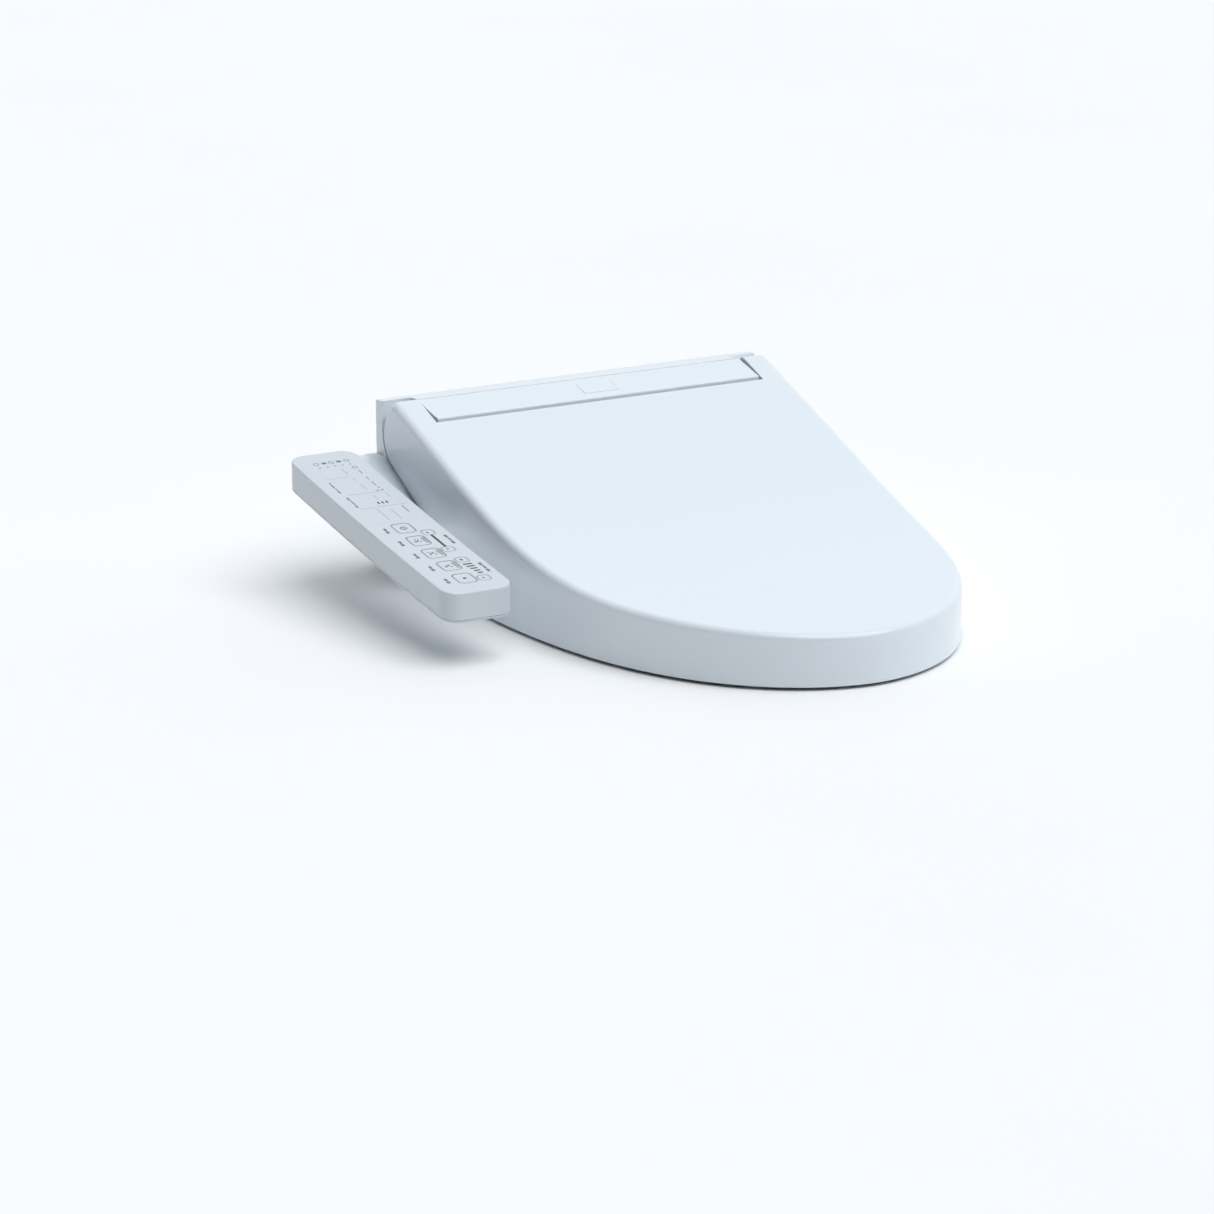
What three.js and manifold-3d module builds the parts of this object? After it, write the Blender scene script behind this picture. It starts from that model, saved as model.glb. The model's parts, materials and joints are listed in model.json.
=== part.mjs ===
// Electric bidet seat for an elongated toilet bowl, with a control arm beside it. Millimetres, +Z up.
// z = 0 is the bowl's rim, x = 0 the plane of symmetry of the seat, and the user faces -Y.
// The origin is on the underside of the mounting plate, midway between its two bolt slots.

import * as THREE from "three";
import { mergeVertices } from "three/addons/utils/BufferGeometryUtils.js";
import Module from "manifold-3d";

const wasm = await Module();
wasm.setup();

// Driving dimensions of the whole seat
const REAR_Y = 58; // rear face, against the tank
const NOSE_Y = -472; // front of the lid
const HALF_W = 191.7; // half width of the lid
const LID_T = 3.5; // wall of the lid
const LID_BOTTOM_Z = 3;
const FIT = 0.35; // gap between pieces that touch
const HINGE = { y: 18, z: 129.5 }; // axis shared by the seat and the lid
const EAR = { y: 13, z: 125, r: 31.5 }; // round rear end of the lid's sides
const EAR_GAP = 2.3;
const STRIP = { half: 165.2, y0: -8, y1: 29.8, z0: 143.5, z1: 152.4, t: 4.4 };
const WINDOW = { x0: -11, x1: 24, y0: 2, y1: 20.5 }; // indicator window in the strip
const HUMP_HALF = 163.5; // housing between the seat's two hinge arms
const WALL = 2.6; // wall of the housing
const SLAB_Y = 45; // front face of the full-width rear end of the housing
const SEAT_HALF = 179;
const PIN_R = 3.2;
const CASE_BOTTOM_Z = 4; // lower edge of the housing and its tray, above the rim
const LEDGE_Z = 7; // top of the ledges under the housing's side walls
const BUMPER_X = 84; // the lid's bumpers and the seat's front ones

// Control arm, and the neck that joins it to the housing
const ARM = { x0: -289.5, x1: -225, y0: -265, y1: 38, t: 26, r: 15 };
const ARM_SPLIT = 23.4; // the upper shell's depth below the top face
const KEY = { x: -258.7, y: -237.3, pitch: 27.65, w: 17, l: 20 };
const SMALL_KEY = { x: -242.8, w: 11, l: 10.5 };
const NECK = { y0: -34, y1: 52, z: 55, rearZ: 102.5 };

// Spray wand, sloping down towards the front
const WAND = { slope: THREE.MathUtils.degToRad(35), y: -86, z: 20, r: 7, length: 138 };
const WAND_MOUTH = { half: 17, z: 33 };

// Working parts that reach through the housing's side walls, and the blower
const DRAIN = { y: -30, z: 24, r: 11 };
const INLET = { y: 36, z: 26, r: 9.5 };
const GLAND = { y: 38, z: 26, r: 7 };
const RELEASE = { y: 10, z: 14, w: 26, h: 12 };
const FILTER = { y0: -52, y1: -16, z0: 15, z1: 33, x0: 108 };
const FAN = { x: 44, y: -34, z: 62, w: 20, r: 21.5, wall: 2.5 };

// Blocks fixed inside the housing
const HEATER = { x0: 69, x1: 150, y0: -62, y1: 12, z0: 40, z1: 96 };
const HEATER_PORT = { x: 80, y: -20, z: 102, r: 7 };
const VALVE = { x0: -152, x1: -112, y0: 8, y1: 34, z0: 14, z1: 44 };
const VALVE_COIL = { x: -132, y: 20, z: 74, r: 11 };
const MAIN_BOARD = { x0: -150, x1: -34, y0: -78, y1: -12, z0: 44, z1: 46 };
const POWER_MODULE = { x0: -140, x1: -60, y0: -76, y1: -30, z0: 14, z1: 40 };

const colour = (hex, roughness, metalness = 0) =>
  new THREE.MeshStandardMaterial({ color: hex, roughness, metalness });
const WHITE = colour(0xe6edf3, 0.18);
const SATIN_WHITE = colour(0xdfe5ea, 0.4);
const SHEET = colour(0xe9eff4, 0.3);
const GREY = colour(0x8d949b, 0.55);
const DARK = colour(0x2d3033, 0.5);
const RUBBER = colour(0xb9bec2, 0.8);
const STEEL = colour(0xb4b7ba, 0.35, 1);
const BRASS = colour(0xb9a36a, 0.35, 1);
const BOARD = colour(0x2e6b4a, 0.5);
const FOIL = colour(0xc9a27c, 0.35, 1);

// ---- shape helpers -------------------------------------------------------------------------------

function solid(geometry) {
  const bare = geometry.index ? geometry.toNonIndexed() : geometry.clone();
  for (const name of Object.keys(bare.attributes)) {
    if (name !== "position") bare.deleteAttribute(name);
  }
  const merged = mergeVertices(bare, 1e-4);
  return new wasm.Manifold(
    new wasm.Mesh({
      numProp: 3,
      vertProperties: merged.attributes.position.array,
      triVerts: new Uint32Array(merged.index.array),
    }),
  );
}

function geometryOf(made) {
  const mesh = made.getMesh();
  const geometry = new THREE.BufferGeometry();
  geometry.setAttribute("position", new THREE.BufferAttribute(mesh.vertProperties, 3));
  geometry.setIndex(new THREE.BufferAttribute(mesh.triVerts, 1));
  return geometry;
}

function toShape(outline) {
  if (!Array.isArray(outline)) return outline;
  return new THREE.Shape(outline.map(([u, v]) => new THREE.Vector2(u, v)));
}

function extrude(outline, depth, matrix, curveSegments = 4) {
  const options = { depth, bevelEnabled: false, curveSegments, steps: 1 };
  return solid(new THREE.ExtrudeGeometry(toShape(outline), options).applyMatrix4(matrix));
}

const axes = (x, y, z) => new THREE.Matrix4().makeBasis(x, y, z);
const X = new THREE.Vector3(1, 0, 0);
const Y = new THREE.Vector3(0, 1, 0);
const Z = new THREE.Vector3(0, 0, 1);

// An outline in (x, y) is swept along Z, and one in (y, z) along X.
function alongZ(outline, z0, z1, segments) {
  return extrude(outline, z1 - z0, axes(X, Y, Z).setPosition(0, 0, z0), segments);
}
function alongX(outline, x0, x1, segments) {
  return extrude(outline, x1 - x0, axes(Y, Z, X).setPosition(x0, 0, 0), segments);
}

function box(x0, x1, y0, y1, z0, z1) {
  const geometry = new THREE.BoxGeometry(x1 - x0, y1 - y0, z1 - z0);
  return solid(geometry.translate((x0 + x1) / 2, (y0 + y1) / 2, (z0 + z1) / 2));
}

const block = ({ x0, x1, y0, y1, z0, z1 }) => box(x0, x1, y0, y1, z0, z1);

function rodX(y, z, r, x0, x1, sides = 20) {
  const geometry = new THREE.CylinderGeometry(r, r, x1 - x0, sides).rotateZ(Math.PI / 2);
  return solid(geometry.translate((x0 + x1) / 2, y, z));
}

function rodY(x, z, r, y0, y1, sides = 20) {
  return solid(new THREE.CylinderGeometry(r, r, y1 - y0, sides).translate(x, (y0 + y1) / 2, z));
}

function rodZ(x, y, r, z0, z1, sides = 20) {
  const geometry = new THREE.CylinderGeometry(r, r, z1 - z0, sides).rotateX(Math.PI / 2);
  return solid(geometry.translate(x, y, (z0 + z1) / 2));
}

function roundRect(u0, u1, v0, v1, r) {
  const shape = new THREE.Shape();
  shape.absarc(u1 - r, v1 - r, r, 0, Math.PI / 2);
  shape.absarc(u0 + r, v1 - r, r, Math.PI / 2, Math.PI);
  shape.absarc(u0 + r, v0 + r, r, Math.PI, 1.5 * Math.PI);
  shape.absarc(u1 - r, v0 + r, r, 1.5 * Math.PI, 2 * Math.PI);
  return shape;
}

const join = (...solids) => solids.reduce((a, b) => a.add(b));
const cut = (from, ...tools) => tools.reduce((a, b) => a.subtract(b), from);
const mix = (a, b, t) => a + (b - a) * t;
const smooth = (a, b, v) => THREE.MathUtils.smoothstep(v, a, b);

const seat = new THREE.Group();
function add(name, made, material, parent = seat) {
  const mesh = new THREE.Mesh(made.isBufferGeometry ? made : geometryOf(made), material);
  mesh.name = name;
  parent.add(mesh);
  return mesh;
}

// ---- lid -----------------------------------------------------------------------------------------

const LID_D = 415; // length over which the lid's plan curves
const LID_POWERS = { width: 1.87, length: 3.17 };

// Half width of the plan at a distance behind the nose.
function lidHalfWidth(d, half = HALF_W, length = LID_D) {
  const along = Math.min(Math.max(1 - d / length, 0), 1);
  return half * (1 - along ** LID_POWERS.length) ** (1 / LID_POWERS.width);
}

function lidPlan(inset, rearY, steps = 20) {
  const right = [];
  for (let i = 1; i <= steps; i++) {
    const d = (LID_D - inset) * (i / steps) ** 1.9;
    right.push([lidHalfWidth(d, HALF_W - inset, LID_D - inset), NOSE_Y + inset + d]);
  }
  right.push([HALF_W - inset, rearY]);
  return [[0, NOSE_Y + inset], ...right, ...right.map(([x, y]) => [-x, y]).reverse()];
}

// The lid's top: a nearly level front, a 20 degree rear slope, and an arc between them.
const FRONT_TOP = { z: 46.8, slope: 0.046 };
const REAR_TOP = { z: -28.65, slope: 0.3675 };
const BEND = { from: 135, to: 331 };
const frontTop = (d) => FRONT_TOP.z + FRONT_TOP.slope * d;
const rearTop = (d) => REAR_TOP.z + REAR_TOP.slope * d;
const slopeTop = (y) => rearTop(y - NOSE_Y);
const DIAGONAL = 0.51; // slope of the lower edge of the lid's sides towards the rear

function lidTopPath(shape, drop) {
  const meet = (FRONT_TOP.z - REAR_TOP.z) / (REAR_TOP.slope - FRONT_TOP.slope);
  shape.lineTo(NOSE_Y - 10, frontTop(-10) - drop);
  shape.lineTo(NOSE_Y + BEND.from, frontTop(BEND.from) - drop);
  shape.quadraticCurveTo(
    NOSE_Y + meet,
    frontTop(meet) - drop,
    NOSE_Y + BEND.to,
    rearTop(BEND.to) - drop,
  );
}

function lidProfile() {
  const shape = new THREE.Shape();
  const low = -Math.PI / 2 + Math.atan(DIAGONAL);
  const end = { y: EAR.y + EAR.r * Math.cos(low), z: EAR.z + EAR.r * Math.sin(low) };
  shape.moveTo(NOSE_Y - 10, LID_BOTTOM_Z);
  lidTopPath(shape, 0);
  shape.absarc(EAR.y, EAR.z, EAR.r, THREE.MathUtils.degToRad(68), low, true);
  shape.lineTo(end.y - (end.z - LID_BOTTOM_Z) / DIAGONAL, LID_BOTTOM_Z);
  return shape;
}

function lidHollow() {
  const shape = new THREE.Shape();
  const drop = LID_T * 1.05;
  shape.moveTo(NOSE_Y - 10, -20);
  lidTopPath(shape, drop);
  shape.lineTo(90, slopeTop(90) - drop);
  shape.lineTo(90, -20);
  return shape;
}

const BOSS = { r: 9.5, bore: PIN_R + 0.4, lid0: 182.2, seat0: 166.6, seat1: 179.6 };

function lidShell() {
  const outer = alongZ(lidPlan(0, 80), 0, 175).intersect(alongX(lidProfile(), -200, 200, 10));
  const inner = alongZ(lidPlan(LID_T, 85), -25, 180).intersect(alongX(lidHollow(), -195, 195, 10));
  const half = STRIP.half + 1.5;
  let shell = cut(outer, inner, box(-half, half, STRIP.y0 - 3, 90, 100, 190));
  for (const side of [-1, 1]) {
    const [x0, x1] = [side * BOSS.lid0, side * (HALF_W - 2)].sort((a, b) => a - b);
    const [b0, b1] = [side * 170, side * (HALF_W - 3.2)].sort((a, b) => a - b);
    const web = box(x0, x1, HINGE.y - 8, HINGE.y + 6, HINGE.z, 160);
    const boss = join(rodX(HINGE.y, HINGE.z, BOSS.r, x0, x1), web).intersect(outer);
    shell = cut(shell.add(boss), rodX(HINGE.y, HINGE.z, BOSS.bore, b0, b1));
  }
  return shell;
}

function addLid() {
  add("lid_shell", lidShell(), WHITE);
  for (const [name, side] of [["lid_bumper_left", -1], ["lid_bumper_right", 1]]) {
    const x = side * BUMPER_X;
    const back = 66; // distance behind the nose
    const y = NOSE_Y + back;
    const top = frontTop(back - 4) - LID_T * 1.05 - FIT;
    add(name, alongZ(roundRect(x - 12, x + 12, y - 4, y + 4, 3.5), 39.4, top, 3), RUBBER);
  }
}

// ---- seat ring -----------------------------------------------------------------------------------

// A closed egg outline: two half superellipses that meet at their widest points. Each end has a
// length, and its powers across and along the seat.
function egg(turn, half, centreY, front, rear) {
  const s = Math.sin(turn);
  const c = Math.cos(turn);
  const end = c > 0 ? front : rear;
  return {
    x: half * Math.sign(s) * Math.abs(s) ** (2 / end.across),
    y: centreY - end.length * Math.sign(c) * Math.abs(c) ** (2 / end.along),
  };
}
const OUTER_FRONT = { length: 265, across: LID_POWERS.width, along: 2.05 };
const OUTER_REAR = { length: 104, across: 5, along: 5 };
const HOLE_FRONT = { length: 140, across: 2.2, along: 2.2 };
const HOLE_REAR = { length: 138, across: 2.5, along: 2.5 };
const seatOuter = (turn) => egg(turn, SEAT_HALF, -200, OUTER_FRONT, OUTER_REAR);
const seatHole = (turn) => egg(turn, 102, -258, HOLE_FRONT, HOLE_REAR);
const SEAT_WALL = 3;
const seatTop = (y) => 37 + 8 * smooth(-330, -110, y);
const seatBottom = (y) => 8 + 16 * smooth(-165, -122, y);

// A closed ring whose cross-section is a loop of [distance in from the hole, height] points.
function ring(section, steps = 36) {
  const points = [];
  let size = 0;
  for (let i = 0; i < steps; i++) {
    const turn = ((i + 0.5) / steps) * 2 * Math.PI;
    const inner = seatHole(turn);
    const outer = seatOuter(turn);
    const width = Math.hypot(outer.x - inner.x, outer.y - inner.y);
    const loop = section(width, (inner.y + outer.y) / 2);
    size = loop.length;
    for (const [s, z] of loop) {
      points.push(mix(inner.x, outer.x, s / width), mix(inner.y, outer.y, s / width), z);
    }
  }
  const faces = [];
  for (let i = 0; i < steps; i++) {
    const next = (i + 1) % steps;
    for (let k = 0; k < size; k++) {
      const up = (k + 1) % size;
      const [a, b, c, d] = [i * size + k, next * size + k, next * size + up, i * size + up];
      faces.push(a, b, c, a, c, d);
    }
  }
  const geometry = new THREE.BufferGeometry();
  geometry.setAttribute("position", new THREE.Float32BufferAttribute(points, 3));
  geometry.setIndex(faces);
  return solid(geometry);
}

function seatUpperSection(width, y) {
  const [top, low, w] = [seatTop(y), seatBottom(y), SEAT_WALL];
  return [
    [width, low],
    [width, top - 7],
    [width * 0.88, top - 1.5],
    [width * 0.62, top],
    [width * 0.3, top - 2.5],
    [2.5, top - 7],
    [0, top - 12],
    [0, low],
    [w, low],
    [w, top - 14],
    [width * 0.5, top - w - 2.4],
    [width - w, top - 11],
    [width - w, low],
  ];
}

function seatPlate(inset, low, high) {
  return ring((width, y) => {
    const [z0, z1] = [low(y), high(y)];
    return [
      [width - inset, z0],
      [width - inset, z1],
      [inset, z1],
      [inset, z0],
    ];
  });
}

// The arm from the ring up to the hinge, between the housing and its side wall.
function seatHingeArm(side) {
  const [x0, x1] = [side * BOSS.seat0, side * BOSS.seat1].sort((a, b) => a - b);
  const shape = new THREE.Shape();
  shape.moveTo(-150, 17);
  shape.lineTo(-104, 25);
  shape.lineTo(-60, 50);
  shape.absarc(HINGE.y, HINGE.z, BOSS.r, THREE.MathUtils.degToRad(-42), Math.PI * 0.72, false);
  shape.lineTo(-88, 66);
  shape.lineTo(-150, 34);
  return alongX(shape, x0, x1, 8);
}

function addSeat() {
  const inside = seatPlate(SEAT_WALL + 0.1, (y) => seatBottom(y) - 1, (y) => seatTop(y) - 13.5);
  const bore = rodX(HINGE.y, HINGE.z, BOSS.bore, -195, 195);
  const arms = join(seatHingeArm(-1), seatHingeArm(1));
  add("seat_upper_shell", cut(join(ring(seatUpperSection), cut(arms, inside)), bore), WHITE);
  const plate = seatPlate(SEAT_WALL + 0.6, (y) => seatBottom(y) + 0.2, (y) => seatBottom(y) + 2.8);
  add("seat_lower_shell", plate, SATIN_WHITE);
  const foil = seatPlate(6.5, (y) => seatTop(y) - 16.4, (y) => seatTop(y) - 15.4);
  add("seat_heater", foil, FOIL);
  for (const [name, x, y] of [
    ["seat_bumper_front_left", -BUMPER_X, -402],
    ["seat_bumper_front_right", BUMPER_X, -402],
    ["seat_bumper_rear_left", -140, -215],
    ["seat_bumper_rear_right", 140, -215],
  ]) {
    add(name, alongZ(roundRect(x - 12, x + 12, y - 7, y + 7, 5), 0, 8 - FIT, 3), RUBBER);
  }
}

// ---- housing -------------------------------------------------------------------------------------

const FRONT_Y = -92; // front face of the housing, behind the seat's opening
const RIDGE = { y: STRIP.y1 + 0.6, z: 152.2, rearZ: 149.8 }; // the housing's top behind the strip
const SIDE_WALL = 4; // thickness of the housing's side walls
const ridgeTop = (y) => mix(RIDGE.z, RIDGE.rearZ, (y - RIDGE.y) / (REAR_Y - RIDGE.y));
const underStrip = (y) =>
  mix(STRIP.z0, STRIP.z1, (y - STRIP.y0) / (STRIP.y1 - STRIP.y0)) - STRIP.t - 0.4;

function humpProfile(inset) {
  const drop = 11 + inset;
  return [
    [FRONT_Y + inset, CASE_BOTTOM_Z - 3 * inset],
    [FRONT_Y + inset + 6, 88],
    [-70 + inset, slopeTop(-70) - drop],
    [STRIP.y0 - 0.6 + inset, slopeTop(STRIP.y0) - drop],
    [STRIP.y0 - 0.6 + inset, underStrip(STRIP.y0) - inset],
    [RIDGE.y + inset, underStrip(STRIP.y1) - inset],
    [RIDGE.y + inset, RIDGE.z - inset],
    [REAR_Y - inset, RIDGE.rearZ - inset],
    [REAR_Y - inset, CASE_BOTTOM_Z - 3 * inset],
  ];
}

// Side wall of the housing below the lid's sloping edge, behind its round ear and up to the top.
function cheekProfile() {
  const shape = new THREE.Shape();
  const r = EAR.r + EAR_GAP;
  const low = -Math.PI / 2 + Math.atan(DIAGONAL);
  const start = { y: EAR.y + r * Math.cos(low), z: EAR.z + r * Math.sin(low) };
  shape.moveTo(start.y - (start.z - CASE_BOTTOM_Z) / DIAGONAL, CASE_BOTTOM_Z);
  shape.lineTo(start.y, start.z);
  shape.absarc(EAR.y, EAR.z, r, low, Math.acos((SLAB_Y - EAR.y) / r), false);
  shape.lineTo(SLAB_Y, ridgeTop(SLAB_Y));
  shape.lineTo(REAR_Y, RIDGE.rearZ);
  shape.lineTo(REAR_Y, CASE_BOTTOM_Z);
  return shape;
}

function mainCase() {
  const edge = HALF_W - 0.4;
  const hump = alongX(humpProfile(0), -HUMP_HALF, HUMP_HALF);
  const humpInside = alongX(humpProfile(WALL), -HUMP_HALF + WALL, HUMP_HALF - WALL);
  const cheek = cheekProfile();
  const inside = edge - SIDE_WALL;
  const sides = join(alongX(cheek, -edge, -inside, 24), alongX(cheek, inside, edge, 24));
  const slabProfile = [
    [SLAB_Y, CASE_BOTTOM_Z],
    [SLAB_Y, ridgeTop(SLAB_Y)],
    [REAR_Y, RIDGE.rearZ],
    [REAR_Y, CASE_BOTTOM_Z],
  ];
  const slab = cut(
    alongX(slabProfile, -edge, edge),
    rodX(EAR.y, EAR.z, EAR.r + EAR_GAP, -195, -HUMP_HALF - 1, 72),
    rodX(EAR.y, EAR.z, EAR.r + EAR_GAP, HUMP_HALF + 1, 195, 72),
    box(-inside, inside, SLAB_Y + WALL, REAR_Y - WALL, 0, RIDGE.rearZ - 5),
  );
  const ledges = join(
    box(-inside - 0.1, -HUMP_HALF, FRONT_Y, SLAB_Y + 1, CASE_BOTTOM_Z, LEDGE_Z),
    box(HUMP_HALF, inside + 0.1, FRONT_Y, SLAB_Y + 1, CASE_BOTTOM_Z, LEDGE_Z),
  );
  return cut(
    cut(join(hump, slab, sides, ledges), humpInside),
    box(-HUMP_HALF + WALL, HUMP_HALF - WALL, SLAB_Y - 4, REAR_Y - WALL, 0, 120),
    box(-PLATE.half - 2, PLATE.half + 2, SLAB_Y, REAR_Y + 1, 0, TRAY.floor - 1),
    rodX(HINGE.y, HINGE.z, PIN_R + FIT, -HUMP_HALF - 1, -HUMP_HALF + 4),
    rodX(HINGE.y, HINGE.z, PIN_R + FIT, HUMP_HALF - 4, HUMP_HALF + 1),
    box(-WAND_MOUTH.half, WAND_MOUTH.half, FRONT_Y - 1, FRONT_Y + 8, 0, WAND_MOUTH.z),
    box(FILTER.x0 - 4, 200, FILTER.y0 - 0.6, FILTER.y1 + 0.6, FILTER.z0 - 0.6, FILTER.z1 + 0.6),
    rodX(DRAIN.y, DRAIN.z, DRAIN.r + 0.5, -200, -HUMP_HALF + WALL + 1),
    rodX(INLET.y, INLET.z, INLET.r + FIT, -200, -HUMP_HALF + WALL + 1),
    rodX(GLAND.y, GLAND.z, GLAND.r + FIT, HUMP_HALF - WALL - 1, 200),
    box(
      150,
      200,
      RELEASE.y - RELEASE.w / 2 - FIT,
      RELEASE.y + RELEASE.w / 2 + FIT,
      RELEASE.z - RELEASE.h / 2 - FIT,
      RELEASE.z + RELEASE.h / 2 + FIT,
    ),
  );
}

const PLATE = { half: 115, y0: -58, y1: 38, t: 3.2, boltX: 70, slotW: 13, slotL: 30 };
const RAIL = { x: 100, half: 2, y0: -50, y1: 30, z: 7.5 }; // ribs on the plate
const TRAY = { half: 160, y0: -87.9, y1: 54.6, floor: 9, t: 2.6 };
const GUIDE = { x: RAIL.x + 4.6, y0: -80, y1: 50, z: 3.6 }; // the tray's ribs beside them

function mountingPlate() {
  const slots = [-1, 1].map((side) => {
    const x = side * PLATE.boltX;
    const [w, l] = [PLATE.slotW / 2, PLATE.slotL / 2];
    return alongZ(roundRect(x - w, x + w, -l, l, w - 0.01), -1, 5, 4);
  });
  const outline = roundRect(-PLATE.half, PLATE.half, PLATE.y0, PLATE.y1, 12);
  const ribs = [-1, 1].map((side) => {
    const x = side * RAIL.x;
    return box(x - RAIL.half, x + RAIL.half, RAIL.y0, RAIL.y1, PLATE.t - 0.2, RAIL.z);
  });
  return cut(join(alongZ(outline, 0, PLATE.t), ...ribs), ...slots);
}

// The tray carries the working parts. Its underside is hollow, and slides over the mounting plate.
function baseTray() {
  const { half, y0, y1, floor, t } = TRAY;
  const skirt = cut(
    box(-half, half, y0, y1, CASE_BOTTOM_Z, floor + t),
    box(-half + t, half - t, y0 + t, y1 - t, 0, floor),
    box(-PLATE.half - 2, PLATE.half + 2, y1 - t - 1, y1 + 1, 0, floor - 1),
  );
  const guides = [-GUIDE.x, GUIDE.x].map((x) => {
    return box(x - RAIL.half, x + RAIL.half, GUIDE.y0, GUIDE.y1, GUIDE.z, floor + 1);
  });
  const mouth = box(-WAND_MOUTH.half, WAND_MOUTH.half, y0 - 1, y0 + 26, 0, 20);
  const inlets = rodX(INLET.y, INLET.z, INLET.r + 0.6, -200, -150);
  return cut(join(skirt, ...guides), mouth, inlets);
}

function addHousing() {
  add("mounting_plate", mountingPlate(), GREY);
  add("base_tray", baseTray(), SATIN_WHITE);
  add("main_case", mainCase(), WHITE);
  for (const [name, side] of [["base_pad_left", -1], ["base_pad_right", 1]]) {
    const x = side * 172;
    add(name, alongZ(roundRect(x - 7, x + 7, -84, -64, 4), 0, CASE_BOTTOM_Z - FIT, 3), RUBBER);
  }
  const { half, y0, y1, z0, z1, t } = STRIP;
  const profile = [
    [y0, z0 - t],
    [y0, z0 - 1.2],
    [y0 + 1.2, z0 + 0.1],
    [y1 - 1, z1],
    [y1, z1 - 1],
    [y1, z1 - t],
  ];
  const window = box(WINDOW.x0, WINDOW.x1, WINDOW.y0, WINDOW.y1, 130, 170);
  add("top_strip", cut(alongX(profile, -half, half), window), WHITE);
  const face = (y) => mix(z0, z1, (y - y0) / (y1 - y0));
  const [w0, w1] = [WINDOW.y0 + FIT, WINDOW.y1 - FIT];
  const glass = [
    [w0, face(w0) - t + 0.4],
    [w0, face(w0) - 0.3],
    [w1, face(w1) - 0.3],
    [w1, face(w1) - t + 0.4],
  ];
  add("indicator_window", alongX(glass, WINDOW.x0 + FIT, WINDOW.x1 - FIT), SHEET);
}

// ---- hinge hardware ------------------------------------------------------------------------------

function addHinges() {
  for (const [side, pin, damper] of [
    [-1, "hinge_pin_left", "seat_damper"],
    [1, "hinge_pin_right", "lid_damper"],
  ]) {
    const [p0, p1] = [side * 150, side * 187.6].sort((a, b) => a - b);
    add(pin, rodX(HINGE.y, HINGE.z, PIN_R, p0, p1), STEEL);
    const [d0, d1] = [side * 96, side * (HUMP_HALF - WALL - FIT)].sort((a, b) => a - b);
    const [s0, s1] = [side * 149, side * 170].sort((a, b) => a - b);
    const barrel = rodX(HINGE.y, HINGE.z - 0.2, 9.5, d0, d1);
    add(damper, cut(barrel, rodX(HINGE.y, HINGE.z, PIN_R + FIT, s0, s1)), DARK);
  }
}

// ---- working parts inside the housing ------------------------------------------------------------

// The wand and its guide lie along -Y of a group that is tipped down towards the front.
function addWand() {
  const tilted = new THREE.Group();
  tilted.position.set(0, WAND.y, WAND.z);
  tilted.rotation.x = WAND.slope;
  seat.add(tilted);
  const { r, length } = WAND;
  const nozzle = 22;
  const rack = box(-2.5, 2.5, nozzle + 6, length, r - 2, r + 2);
  add("wand", join(rodY(0, 0, r, nozzle, length, 16), rack), SATIN_WHITE, tilted);
  const spray = rodZ(0, 8, 2.2, r - 2, r + 3, 10);
  add("nozzle_head", cut(rodY(0, 0, r - 0.1, 0, nozzle - FIT, 16), spray), SATIN_WHITE, tilted);
  const cradle = cut(
    box(-12, 12, 14, length + 4, -r - 3, 1),
    rodY(0, 0, r + 0.5, 0, length + 9, 16),
    box(-r - 0.5, r + 0.5, 0, length + 9, 0, 4),
  );
  add("wand_guide", cradle, GREY, tilted);
  const drive = { y: 62, z: r + 2.4 + 6, r: 6 };
  add("wand_roller", rodX(drive.y, drive.z, drive.r, -4, 5, 18), RUBBER, tilted);
  add("wand_motor", rodX(drive.y, drive.z + 1, 11.5, 6, 34, 18), STEEL, tilted);
}

function waterHeater() {
  const { x0, x1, y0, y1, z0, z1 } = HEATER;
  const port = rodZ(HEATER_PORT.x, HEATER_PORT.y, HEATER_PORT.r, z1 - 1, HEATER_PORT.z, 14);
  return join(alongZ(roundRect(x0, x1, y0, y1, 14), z0, z1, 3), port);
}

function tube(points, r) {
  const path = new THREE.CatmullRomCurve3(points.map((p) => new THREE.Vector3(...p)));
  const circle = new THREE.Shape().absarc(0, 0, r, 0, 2 * Math.PI);
  const options = { steps: 16, bevelEnabled: false, extrudePath: path, curveSegments: 4 };
  return solid(new THREE.ExtrudeGeometry(circle, options));
}

function blowerCase() {
  const { x, y, z, w, r, wall } = FAN;
  const out = r + wall;
  const chamber = rodX(y, z, r, x + 2, x + w + 1, 24);
  const volute = cut(rodX(y, z, out, x, x + w, 24), chamber);
  const duct = cut(
    box(x, x + w, y - out, y, z - 30, z - 12),
    box(x + 2, x + w - 2, y - r, y - 2, z - 31, z - 10),
    chamber,
  );
  return cut(join(volute, duct), rodX(y, z, 2.6, x - 1, x + 4, 12));
}

function impeller() {
  const { x, y, z, w, r } = FAN;
  const count = 9;
  const blades = [];
  for (let i = 0; i < count; i++) {
    const blade = new THREE.BoxGeometry(12, 1.6, 9).translate(x + 10.5, 0, r - 7);
    blade.rotateX((i / count) * 2 * Math.PI).translate(0, y, z);
    blades.push(solid(blade));
  }
  const hub = rodX(y, z, 5, x + 4.5, x + w - 3, 12);
  const disc = rodX(y, z, r - 2, x + 3, x + 5, 18);
  return join(disc, hub, rodX(y, z, 2, x - 6, x + 6, 12), ...blades);
}

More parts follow.
